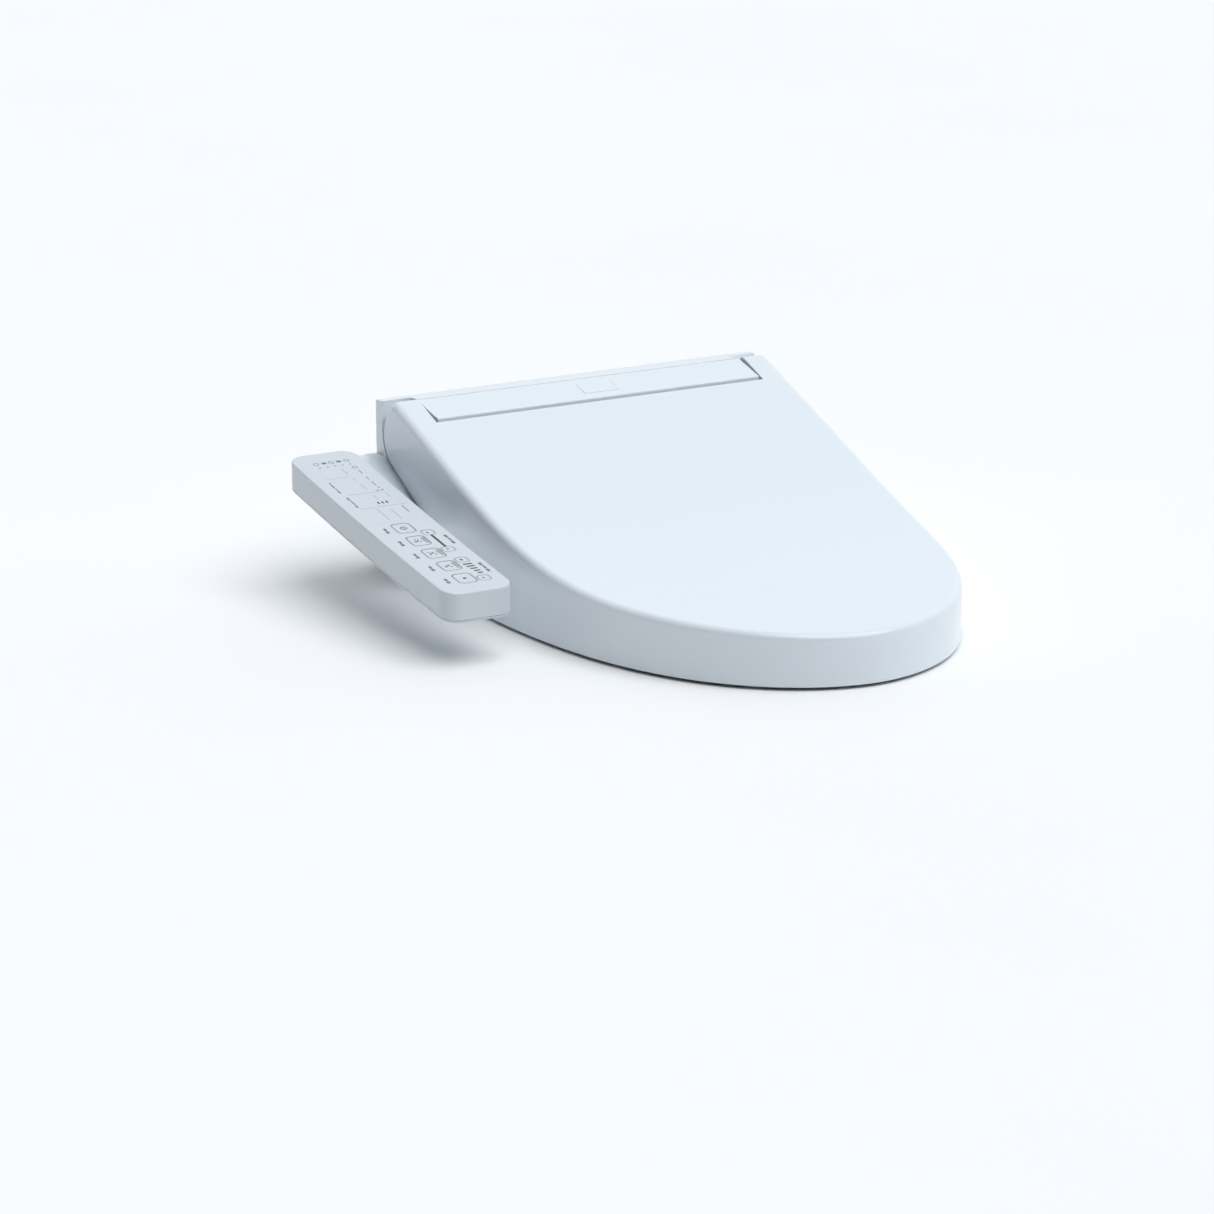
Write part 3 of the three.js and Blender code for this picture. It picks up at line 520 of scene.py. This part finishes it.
def lid_point(stations, key, t):
    """Where a corner lies on the skin at a depth t inside the outer one."""
    side, i, kind, k = key
    if kind == "diagonal":
        y = mix(EAR[0] + EAR_R * math.cos(EAR_LOW) - 3, -45, k / DIAGONAL_STEPS)
        return Vector((side * (HALF_W - t), y, diagonal_z(y)))
    edge, out, top, r, on_ear = stations[i]
    inner_r = max(r - t, 0.3)
    centre = edge - (t + inner_r) * (out + top)
    if kind == "wall":
        foot = edge - t * out
        foot.z = max(LID_BOTTOM_Z, diagonal_z(foot.y))
        start = centre + inner_r * out
        p = start.lerp(foot, (k + 1) / WALL_ROWS)
    elif kind == "arc":
        a = math.pi / 2 * k / ARC_STEPS
        p = centre + inner_r * (math.cos(a) * top + math.sin(a) * out)
    else:
        start = centre + inner_r * top
        x_full = HALF_W - t - inner_r
        share = LID_COLUMNS[k] / (HALF_W - LID_EDGE_R)
        p = Vector((LID_COLUMNS[k] if on_ear else start.x * share, start.y, start.z))
        p.x = min(p.x, x_full if on_ear else start.x)
    return Vector((side * abs(p.x), p.y, p.z)) if side else Vector((0, p.y, p.z))


def make_lid():
    stations = lid_stations()
    faces = lid_walls(stations)
    keys = sorted({k for face in faces for k in face}, key=str)
    index = {k: n for n, k in enumerate(keys)}
    points = [lid_point(stations, k, 0) for k in keys] + [lid_point(stations, k, LID_T) for k in keys]
    count = len(keys)
    skins = [[index[k] for k in face] for face in faces]
    uses = {}
    for face in skins:
        for a, b in zip(face, face[1:] + face[:1]):
            uses.setdefault(frozenset((a, b)), []).append((a, b))
    rims = [pair[0] for pair in uses.values() if len(pair) == 1]  # edges that only one face has
    all_faces = skins + [[count + n for n in reversed(face)] for face in skins]
    all_faces += [(b, a, count + a, count + b) for a, b in rims]
    lid = make("lid_skin", points, all_faces)
    boss_x = 182.2  # inner end of the bosses that turn on the hinge pins
    bosses = [
        make("boss", *drum_x(*HINGE, BOSS_R, side * boss_x, side * (HALF_W - LID_T + 0.2), bore=BORE_R))
        for side in (-1, 1)
    ]
    lid = join("lid", lid, *bosses)
    shade(lid)
    bevel(lid, 0.5, angle=50)
    weigh_normals(lid)
    place(lid, "lid", "white_gloss", "lid_shell")


# ---- seat ring -----------------------------------------------------------------------------------

RING_STEPS = 144
SEAT_HALF = 179
SEAT_WALL = 3.0
SEAT_ARM_X = (166.6, 179.6)  # the two arms up to the hinge
HOLE = (102, -258, (140, 2.2, 2.2), (138, 2.5, 2.5))  # half width, widest y, front and rear ends
RIM = (SEAT_HALF, -200, (265, 1.87, 2.05), (104, 5, 5))


def egg(turn, half, centre_y, front, rear):
    """A point on an egg outline. Each end has a length, and its powers across and along the seat."""
    s, c = math.sin(turn), math.cos(turn)
    length, across, along = front if c > 0 else rear
    x = half * math.copysign(abs(s) ** (2 / across), s)
    y = centre_y - length * math.copysign(abs(c) ** (2 / along), c)
    return Vector((x, y, 0))


def seat_top(y):
    return 37 + 8 * smooth_step(-330, -110, y)


def seat_bottom(y):
    return 8 + 16 * smooth_step(-165, -122, y)


def through(points):
    """A smooth curve through the points."""
    curve = []
    steps = 5
    ends = [points[0]] + points + [points[-1]]
    for i in range(len(points) - 1):
        p0, p1, p2, p3 = (Vector(p) for p in ends[i:i + 4])
        for k in range(steps):
            t = k / steps
            curve.append(0.5 * (2 * p1 + (p2 - p0) * t + (2 * p0 - 5 * p1 + 4 * p2 - p3) * t * t
                                + (3 * p1 - p0 - 3 * p2 + p3) * t ** 3))
    curve.append(Vector(points[-1]))
    return curve


def seat_section(width, y):
    top, low, w = seat_top(y), seat_bottom(y), SEAT_WALL
    crown = through([
        (width, top - 12), (width - 0.6, top - 7), (width * 0.88, top - 1.5), (width * 0.62, top - 0.1),
        (width * 0.3, top - 2.5), (2.5, top - 7), (0.2, top - 13),
    ])
    outside = [(width, low)] + [tuple(p) for p in crown] + [(0.2, low)]
    inside = [
        (w, low), (w, top - 14.5), (width * 0.5, top - w - 2.6),
        (width - w, top - 11.5), (width - w, low),
    ]
    return outside + inside


def seat_ring():
    points, faces = [], []
    for i in range(RING_STEPS):
        turn = (i + 0.5) / RING_STEPS * 2 * math.pi
        inner, outer = egg(turn, *HOLE), egg(turn, *RIM)
        width = (outer - inner).length
        for s, z in seat_section(width, (inner.y + outer.y) / 2):
            p = inner.lerp(outer, s / width)
            points.append((p.x, p.y, z))
    size = len(points) // RING_STEPS
    for i in range(RING_STEPS):
        n = (i + 1) % RING_STEPS
        for k in range(size):
            m = (k + 1) % size
            faces.append((i * size + k, n * size + k, n * size + m, i * size + m))
    return make("ring", points, faces, sharp=50)


def seat_arm(side):
    """The arm from the ring up to the hinge."""
    outline = [(-150, 17), (-104, 25), (-60, 50)]
    steps = 16
    for i in range(steps + 1):
        a = mix(math.radians(-42), math.pi * 0.72, i / steps)
        outline.append((HINGE[0] + BOSS_R * math.cos(a), HINGE[1] + BOSS_R * math.sin(a)))
    outline += [(-88, 66), (-150, 34)]
    x0, x1 = sorted(side * x for x in SEAT_ARM_X)
    arm = make("hinge_arm", *along_x(outline, x0, x1))
    bevel(arm, 1.2, 3)
    bake(arm)
    return cut(arm, make("bore", *drum_x(*HINGE, BORE_R, x0 - 1, x1 + 1)))


def make_seat():
    seat = join("seat_ring", seat_ring(), seat_arm(-1), seat_arm(1))
    shade(seat, 50)
    weigh_normals(seat)
    place(seat, "seat", "white_gloss", "seat_upper_shell")


# ---- strip at the rear of the housing ------------------------------------------------------------

def strip_height(y):
    (y0, z0), (y1, z1) = STRIP
    return mix(z0, z1, (y - y0) / (y1 - y0))


def strip_half_width(y):
    """The strip's ends curve in towards the front, which opens the gap to the lid."""
    (y0, _), (y1, _) = STRIP
    rear_gap, front_gap = 0.4, 1.2
    return STRIP_HALF - rear_gap - (front_gap - rear_gap) * ((y1 - y) / (y1 - y0)) ** 2


def make_strip():
    (y0, z0), (y1, z1) = STRIP
    rows = 10
    lip = 1.9  # radius of the front edge
    steps = [i / rows for i in range(rows + 1)]
    outline = [(mix(y0, y1, t), mix(z0, z1, t) - STRIP_T) for t in steps]
    outline += [(y1, z1 - 0.8)]
    outline += [(mix(y1 - 0.8, y0 + lip, t), mix(z1, z0, t) - mix(0.1, 0, t)) for t in steps[:-1]]
    slope = math.atan2(z1 - z0, y1 - y0)
    for i in range(7):
        a = mix(slope + math.pi / 2, math.pi, i / 6)
        outline.append((y0 + lip + lip * math.cos(a), z0 - lip * 0.8 + lip * math.sin(a)))
    points, faces = along_x(outline, -1, 1)
    strip = make("strip", [(side * strip_half_width(y), y, z) for side, y, z in points], faces)
    x0, x1, w0, w1 = WINDOW
    r = 1.5  # of the window's corners
    hole = make("hole", *slab(round_outline(x0, x1, w0, w1, r), 130, 170))
    cut(strip, hole)
    bevel(strip, 0.4, angle=50)
    weigh_normals(strip)
    place(strip, "main", "white_gloss", "top_strip")
    gap = 0.15  # round the window's pane
    pane = round_outline(x0 + gap, x1 - gap, w0 + gap, w1 - gap, r - gap)
    points, faces = slab(pane, -3.6, -0.12, top_r=0.25)
    glass = make("window_pane", [(x, y, z + strip_height(y)) for x, y, z in points], faces)
    weigh_normals(glass)
    place(glass, "main", "panel_print", "indicator_window", material=MATERIALS["white_gloss"])


# ---- control arm ---------------------------------------------------------------------------------

def arm_top(y):
    t = (ARM_Y[1] - y) / (ARM_Y[1] - ARM_Y[0])
    rear, middle, front = ARM_TOP
    return rear * (1 - t) ** 2 + 2 * middle * t * (1 - t) + front * t * t


def arm_tilt(y):
    return math.atan((arm_top(y + 1) - arm_top(y - 1)) / 2)


def arm_side(inset):
    """Right half of the arm's plan from front to rear, as points with their outward directions."""
    r = ARM_R - inset
    middle = (ARM_X[0] + ARM_X[1]) / 2
    x = ARM_X[1] - inset - r
    y0, y1 = ARM_Y[0] + inset + r, ARM_Y[1] - inset - r
    stations = []
    turns = [math.radians(9 * i) for i in range(11)]
    straight = 32
    for a in turns:
        stations.append((x + r * math.sin(a), y0 - r * math.cos(a), math.sin(a), -math.cos(a)))
    for i in range(1, straight):
        stations.append((x + r, mix(y0, y1, i / straight), 1, 0))
    for a in turns:
        stations.append((x + r * math.cos(a), y1 + r * math.sin(a), math.cos(a), math.sin(a)))
    return middle, stations


def arm_block(above, below, top_r=0.0, low_r=0.0, inset=0.0):
    """A slice of the arm between two depths below its dished top, with rounded edges."""
    middle, stations = arm_side(inset)
    levels = []
    steps = 4
    for i in range(steps + 1 if top_r else 1):
        a = math.pi / 2 * i / steps
        levels.append((top_r * (1 - math.sin(a)), above + top_r * (1 - math.cos(a))))
    for i in range(steps + 1 if low_r else 1):
        a = math.pi / 2 * (1 - i / steps)
        levels.append((low_r * (1 - math.sin(a)), below - low_r * (1 - math.cos(a))))
    count = len(stations)
    points = []
    for back, depth in levels:
        for mirror in (1, -1):
            for x, y, nx, ny in stations:
                px, py = x - back * nx, y - back * ny
                points.append((px if mirror == 1 else 2 * middle - px, py, arm_top(py) - depth))
    size = 2 * count
    faces = []
    for level in range(len(levels) - 1):
        for half in (0, count):
            for k in range(count - 1):
                a = level * size + half + k
                faces.append((a, a + 1, a + 1 + size, a + size))
        for k in (0, count - 1):
            a, b = level * size + k, level * size + count + k
            faces.append((a, b, b + size, a + size))
    for level in (0, len(levels) - 1):
        for k in range(count - 1):
            a, b = level * size + k, level * size + count + k
            faces.append((a, a + 1, b + 1, b))
    return points, faces


def lift(points, height):
    return [(u, v, w + height) for u, v, w in points]


def on_panel(points, x, y):
    """Points drawn round an origin, stood on the arm's top at (x, y)."""
    turn = Matrix.Rotation(arm_tilt(y), 3, "X")
    start = Vector((x, y, arm_top(y)))
    return [tuple(start + turn @ Vector(p)) for p in points]


LARGE_KEY = (17, 20, 4.2)  # width, length and corner radius
SMALL_KEY = (11, 10.5, 3.2)
KEY_X, KEY_Y, KEY_PITCH = -258.7, -237.3, 27.65
SMALL_KEY_X = -242.8
LARGE_KEYS = ("key_stop", "key_rear", "key_soft", "key_front", "key_dryer")
SMALL_KEYS = {
    "key_pressure_down": -241.5,
    "key_pressure_up": -202,
    "key_position_forward": -178,
    "key_position_back": -141,
}
KEYS = {name: (KEY_X, KEY_Y + row * KEY_PITCH, LARGE_KEY) for row, name in enumerate(LARGE_KEYS)}
KEYS.update({name: (SMALL_KEY_X, y, SMALL_KEY) for name, y in SMALL_KEYS.items()})
KEY_GAP = 0.4
KEY_DEPTH = 8.6
KEY_RISE = 0.05  # how far the keys stand above the arm
INK_LEVELS = (-0.02, 0.05)  # from and to, above what it is printed on
FILM = 0.05  # how far the status film stands above the arm
FILM_Y = -111.6  # its front edge
FILM_INSET = 5.4


def key_outline(size, margin):
    w, l, r = size
    return round_outline(-w / 2 - margin, w / 2 + margin, -l / 2 - margin, l / 2 + margin, r + margin)


def make_arm():
    shell = make("arm_shell", *arm_block(0, ARM_SPLIT, top_r=ARM_EDGE_R))
    tools = [make("hollow", *arm_block(2.6, ARM_SPLIT + 4, inset=2.4))]
    for x, y, size in KEYS.values():
        points, faces = slab(key_outline(size, KEY_GAP), -12, 5)
        tools.append(make("hole", on_panel(points, x, y), faces))
    cut(shell, *tools)
    weigh_normals(shell)
    place(shell, "main", "white_gloss", "arm_upper_shell", material=ARM_SHADED_PLASTIC)
    cover = make("arm_cover", *arm_block(ARM_SPLIT + FIT, ARM_T, low_r=2.0))
    weigh_normals(cover)
    place(cover, "main", "white_gloss", "arm_bottom_cover", material=ARM_SHADED_PLASTIC)
    film = make("status_film", *arm_block(-FILM, 0.05, inset=FILM_INSET))
    ahead = [(ARM_Y[0] - 9, 0), (FILM_Y, 0), (FILM_Y, 180), (ARM_Y[0] - 9, 180)]
    cut(film, make("ahead", *along_x(ahead, -310, -200)))
    weigh_normals(film)
    place(film, "main", "panel_print", "status_sheet")


def make_key(name):
    x, y, size = KEYS[name]
    points, faces = slab(key_outline(size, 0), -KEY_DEPTH, KEY_RISE, top_r=0.3)
    cap = make(name + "_cap", on_panel(points, x, y), faces, sharp=60)
    weigh_normals(cap)
    place(cap, name, "panel_print", name)
    width, ink = (0.5, GREY_INK) if size == LARGE_KEY else (0.4, PALE_INK)
    prints = [("outline", [outline_mark(key_outline(size, -0.3), width)], ink)]
    if name in KEY_BANDS:
        prints.append(("band", [bar(6, 0, 2.2, 12.5), bar(4.2, 1.5, 0.7, 7)], PALE_INK))
    prints.append(("glyph", KEY_GLYPHS[name](), DARK_INK))
    for kind, marks, ink in prints:
        points, faces = collect(marks)
        printed = make(name + "_" + kind, on_panel(lift(points, KEY_RISE), x, y), faces)
        place(printed, name, "panel_print", material=ink)


def outline_mark(outline, width):
    """A printed line that runs round an outline."""
    inner = inset_outline(outline, width)
    size = len(outline)
    points = [(x, y, z) for ring in (outline, inner) for z in INK_LEVELS for x, y in ring]
    faces = []
    for k in range(size):
        n = (k + 1) % size
        low_out, top_out, low_in, top_in = k, size + k, 2 * size + k, 3 * size + k
        m_low_out, m_top_out, m_low_in, m_top_in = n, size + n, 2 * size + n, 3 * size + n
        faces += [
            (low_out, m_low_out, m_top_out, top_out), (top_out, m_top_out, m_top_in, top_in),
            (top_in, m_top_in, m_low_in, low_in), (low_in, m_low_in, m_low_out, low_out),
        ]
    return points, faces


def bar(x, y, w, l):
    """A printed bar, w across the arm and l along it."""
    x0, x1, y0, y1 = x - w / 2, x + w / 2, y - l / 2, y + l / 2
    return slab([(x0, y0), (x1, y0), (x1, y1), (x0, y1)], *INK_LEVELS)


def circle(x, y, r, sides):
    turns = [2 * math.pi * i / sides for i in range(sides)]
    return [(x + r * math.cos(a), y + r * math.sin(a)) for a in turns]


def dot(x, y, r):
    return slab(circle(x, y, r, 16), *INK_LEVELS)


def hoop(x, y, r, width):
    return outline_mark(circle(x, y, r, 20), width)


def arrow(x, y, size, way):
    """A printed triangle that points along the arm."""
    base, tip = y - way * size * 0.6, y + way * size * 0.8
    outline = [(x - size, base), (x + size, base), (x, tip)]
    return slab(outline if way > 0 else outline[::-1], *INK_LEVELS)


def jet(bend):
    """A washing key's symbol: a spray of short strokes."""
    strokes = [bar(-3.4, -1.2, 1.0, 3.2), bar(-1.9, -0.2 + bend, 2.4, 1.0), bar(-0.2, 0.9, 1.0, 3)]
    return strokes + [dot(1.2, -2.2, 0.8)]


KEY_BANDS = ("key_rear", "key_soft", "key_front")
KEY_GLYPHS = {
    "key_stop": lambda: [dot(0, 0, 1.6)],
    "key_rear": lambda: jet(0),
    "key_soft": lambda: jet(1) + [dot(-3.6, 3, 0.7)],
    "key_front": lambda: jet(-1) + [dot(-1.8, 3, 0.7)],
    "key_dryer": lambda: [hoop(0, 0, 3.2, 0.8), bar(0, 1.4, 0.9, 2), bar(0, -1.4, 0.9, 2)],
    "key_pressure_down": lambda: [bar(-0.6, 0, 2.6, 1.3)],
    "key_pressure_up": lambda: [bar(-0.6, 0, 3, 1.3), bar(-0.6, 0, 1.3, 3)],
    "key_position_forward": lambda: [arrow(-0.8, 0, 1.7, -1)],
    "key_position_back": lambda: [arrow(-0.8, 0, 1.7, 1)],
}


def print_panel(name, marks, material):
    """Marks on the arm's top, each a printed shape with its place on the arm."""
    parts = []
    for (points, faces), x, y in marks:
        parts.append((on_panel(lift(points, FILM if y > FILM_Y else 0), x, y), faces))
    printed = make(name, *collect(parts))
    place(printed, "main", "panel_print", material=material)


def label(x, y, lengths, w):
    """A short row of blocks along the arm, in place of a printed word."""
    marks = []
    gap = 0.9
    start = y - (sum(lengths) + gap * (len(lengths) - 1)) / 2
    for n, length in enumerate(lengths):
        middle = start + length / 2
        marks.append((bar(0, 0, w * (1 - 0.25 * (n % 2)), length), x + 0.3 * (n % 2), middle))
        start += length + gap
    return marks


def make_prints():
    dark = [(bar(0, 0, 2.4, 26.5), -242.6, -159.3)]
    for i in range(5):
        length = 8.2 - 0.9 * i
        dark.append((bar(0, 0, length, 2.1), -238.3 - length / 2, -211.4 - 4.85 * i))
    for i in range(3):
        dark.append((bar(0, 0, 1.6, 4.2), -254.9 + 4 * i, -72.2))
    print_panel("panel_bars", dark, DARK_INK)
    grey = []
    for row in range(5):
        grey += label(-275.5, KEY_Y + row * KEY_PITCH - 0.6, (3.8, 5.2), w=3.2)
    grey += label(-232.2, -159.4, (6.2, 5.0, 6.4), w=2.6)
    grey += label(-232.2, -221.6, (5.4, 6.4, 5.6), w=2.8)
    for n, x in enumerate((-270.5, -263, -256, -248.8, -241.4)):
        grey.append((dot(0, 0, 0.9), x, 9.2))
        grey.append((hoop(0, 0, 2.6, 0.7), x, 17) if n % 2 == 0 else (bar(0, 0, 4.4, 3.4), x, 17))
    grey.append((outline_mark(round_outline(-2.2, 2.2, -2.2, 2.2, 0.6), 0.6), -240.6, 1.9))
    for y, length in ((-8.2, 8.5), (-21.8, 6.7), (-34, 9.4)):
        grey.append((bar(0, 0, 0.8, length), -240.1, y))
    for x, y in ((-239.6, -42.5), (-238.8, -47.5), (-243.3, -47.7)):
        grey.append((dot(0, 0, 1.0), x, y))
    grey += label(-277, -32.7, (6.5, 4, 6, 4), w=1.5)
    grey += label(-276, -64.8, (5, 9, 6), w=1.7)
    grey.append((bar(0, 0, 0.9, 14.5), -238, -89.6))
    print_panel("panel_labels", grey, GREY_INK)
    pale = []
    for x, y, length in ((-253.2, -3.8, 14), (-252.4, -21.3, 5), (-251.8, -37, 13), (-251.5, -61, 10),
                         (-239, -59.2, 8), (-261.9, -95, 26), (-250.6, -98, 21)):
        pale.append((bar(0, 0, 0.6, length), x, y))
    for x0, x1, y in ((-279.6, -254, -14.8), (-272.4, -238.9, -50.4), (-275.6, -230.6, -79.5)):
        pale.append((bar(0, 0, x1 - x0, 0.4), (x0 + x1) / 2, y))
    print_panel("panel_lines", pale, PALE_INK)


# ---- neck between the housing and the arm --------------------------------------------------------

def cheek_edge(y):
    """Upper edge of the housing's side wall, below the lid's ear and sloping edge."""
    r = EAR_R + EAR_GAP
    start_y, start_z = EAR[0] + r * math.cos(EAR_LOW), EAR[1] + r * math.sin(EAR_LOW)
    if y < start_y:
        return start_z + DIAGONAL * (y - start_y)
    return EAR[1] - math.sqrt(max(r * r - (y - EAR[0]) ** 2, 0))


def make_neck():
    """The neck's top leaves the arm level and falls to the housing. Its rear edge runs aslant."""
    arm_x, case_x = ARM_X[1] - ARM_EDGE_R - 0.3, -HALF_W
    rows, columns = 30, 12
    arm_rear, case_rear = 23.5, 57  # y of the rear edge's two ends
    points = []
    for i in range(rows + 1):
        for k in range(columns + 1):
            t = k / columns
            y = mix(NECK_Y[0], mix(case_rear, arm_rear, t), i / rows)
            rise = mix(-3, 0.04, smooth_step(-26, 8, y))  # its front starts below the arm's top
            high = arm_top(min(y, arm_rear)) + rise
            low = min(cheek_edge(y), NECK_REAR_Z) - 0.8
            points.append((mix(case_x, arm_x, t), y, low + (high - low) * (1 - (1 - t) ** 1.25)))
    size = columns + 1
    faces = []
    for i in range(rows):
        for k in range(columns):
            a = i * size + k
            faces.append((a, a + 1, a + size + 1, a + size))
    rim = list(range(size)) + [i * size + columns for i in range(1, rows)]
    rim += [rows * size + k for k in range(columns, -1, -1)] + [i * size for i in range(rows - 1, 0, -1)]
    start = len(points)
    points += [(points[n][0], points[n][1], NECK_Z) for n in rim]
    count = len(rim)
    for k in range(count):
        n = (k + 1) % count
        faces.append((rim[k], rim[n], start + n, start + k))
    faces.append(tuple(range(start, start + count)))
    neck = make("neck", points, faces, sharp=50)
    bevel(neck, 0.4, angle=60)
    weigh_normals(neck)
    place(neck, "main", "white_gloss", "arm_neck", material=ARM_SHADED_PLASTIC)


# ---- CAD nodes that stay -------------------------------------------------------------------------

def soften(obj, width):
    """Rounds the edges of a CAD node by modifiers, without changing its mesh."""
    mesh = obj.data
    mesh.polygons.foreach_set("use_smooth", [True] * len(mesh.polygons))
    weld = obj.modifiers.new("weld", "WELD")
    weld.merge_threshold = 0.00001
    planar = obj.modifiers.new("planar", "DECIMATE")
    planar.decimate_type = "DISSOLVE"
    planar.angle_limit = math.radians(0.6)
    bevel(obj, width)
    weigh_normals(obj)


EDGE_WIDTHS = {"main_case": 1.2, "mounting_plate": 0.5, "base_tray": 0.5, "filter_cartridge": 0.6}


def dress_cad_nodes():
    slots = {row["node"]: row["material_slot"] for row in frame["record"]["subparts"]}
    for name, obj in frame["nodes"].items():
        dress(obj, MATERIALS[slots[name]])
        if not obj.hide_render:
            soften(obj, EDGE_WIDTHS.get(name, 0.4))


# ---- stage ---------------------------------------------------------------------------------------

def make_floor():
    half = 9  # metres
    mesh = bpy.data.meshes.new("floor")
    corners = [(-half, -half, 0), (half, -half, 0), (half, half, 0), (-half, half, 0)]
    mesh.from_pydata(corners, [], [(0, 1, 2, 3)])
    floor = bpy.data.objects.new("floor", mesh)
    floor.location.z = -0.3 * MM
    bpy.context.scene.collection.objects.link(floor)
    material, tree, shader = new_material("floor_paint", 0.9, specular=0.1)
    patches = ramp(tree, noise(tree, 1.5), 0, 1)
    tint = blend_colours(tree, patches, (0.93, 0.935, 0.94), (0.95, 0.955, 0.96))
    tree.links.new(tint, shader.inputs["Base Color"])
    floor.data.materials.append(material)


def make_world():
    """Surroundings that grow brighter towards the right, the rear and the top."""
    world = bpy.data.worlds.new("studio")
    world.use_nodes = True
    tree = world.node_tree
    sky = tree.nodes["Background"]
    sky.inputs["Color"].default_value = (0.92, 0.96, 1.0, 1)
    place_node = tree.nodes.new("ShaderNodeTexCoord")
    toward = tree.nodes.new("ShaderNodeVectorMath")
    toward.operation = "DOT_PRODUCT"
    toward.inputs[1].default_value = Vector((0.45, 0.75, 0.5)).normalized()
    tree.links.new(place_node.outputs["Generated"], toward.inputs[0])
    tree.links.new(ramp(tree, toward.outputs["Value"], 0.1, 0.85, -0.2, 0.9), sky.inputs["Strength"])
    bpy.context.scene.world = world


def make_key_light():
    """A wide soft light from above, a little to the front and the right."""
    light = bpy.data.lights.new("key_light", "SUN")
    light.angle = math.radians(60)
    light.energy = 2.1
    light.color = (0.97, 0.985, 1)
    lamp = bpy.data.objects.new("key_light", light)
    lamp.rotation_euler = Vector((-0.16, 0.42, -0.893)).to_track_quat("-Z", "Y").to_euler()
    bpy.context.scene.collection.objects.link(lamp)


def make_camera():
    scene = bpy.context.scene
    data = bpy.data.cameras.new("camera")
    data.lens = 132.5
    data.sensor_width = 36
    camera = bpy.data.objects.new("camera", data)
    camera.location = (-1.8990, -3.3819, 1.0789)
    camera.rotation_euler = (math.radians(73.722), 0, math.radians(-29.445))
    scene.collection.objects.link(camera)
    scene.camera = camera


make_camera()
make_lid()
make_seat()
make_strip()
make_arm()
for key_name in KEYS:
    make_key(key_name)
make_prints()
make_neck()
dress_cad_nodes()
make_floor()
make_world()
make_key_light()
bpy.context.scene.view_settings.view_transform = "Standard"
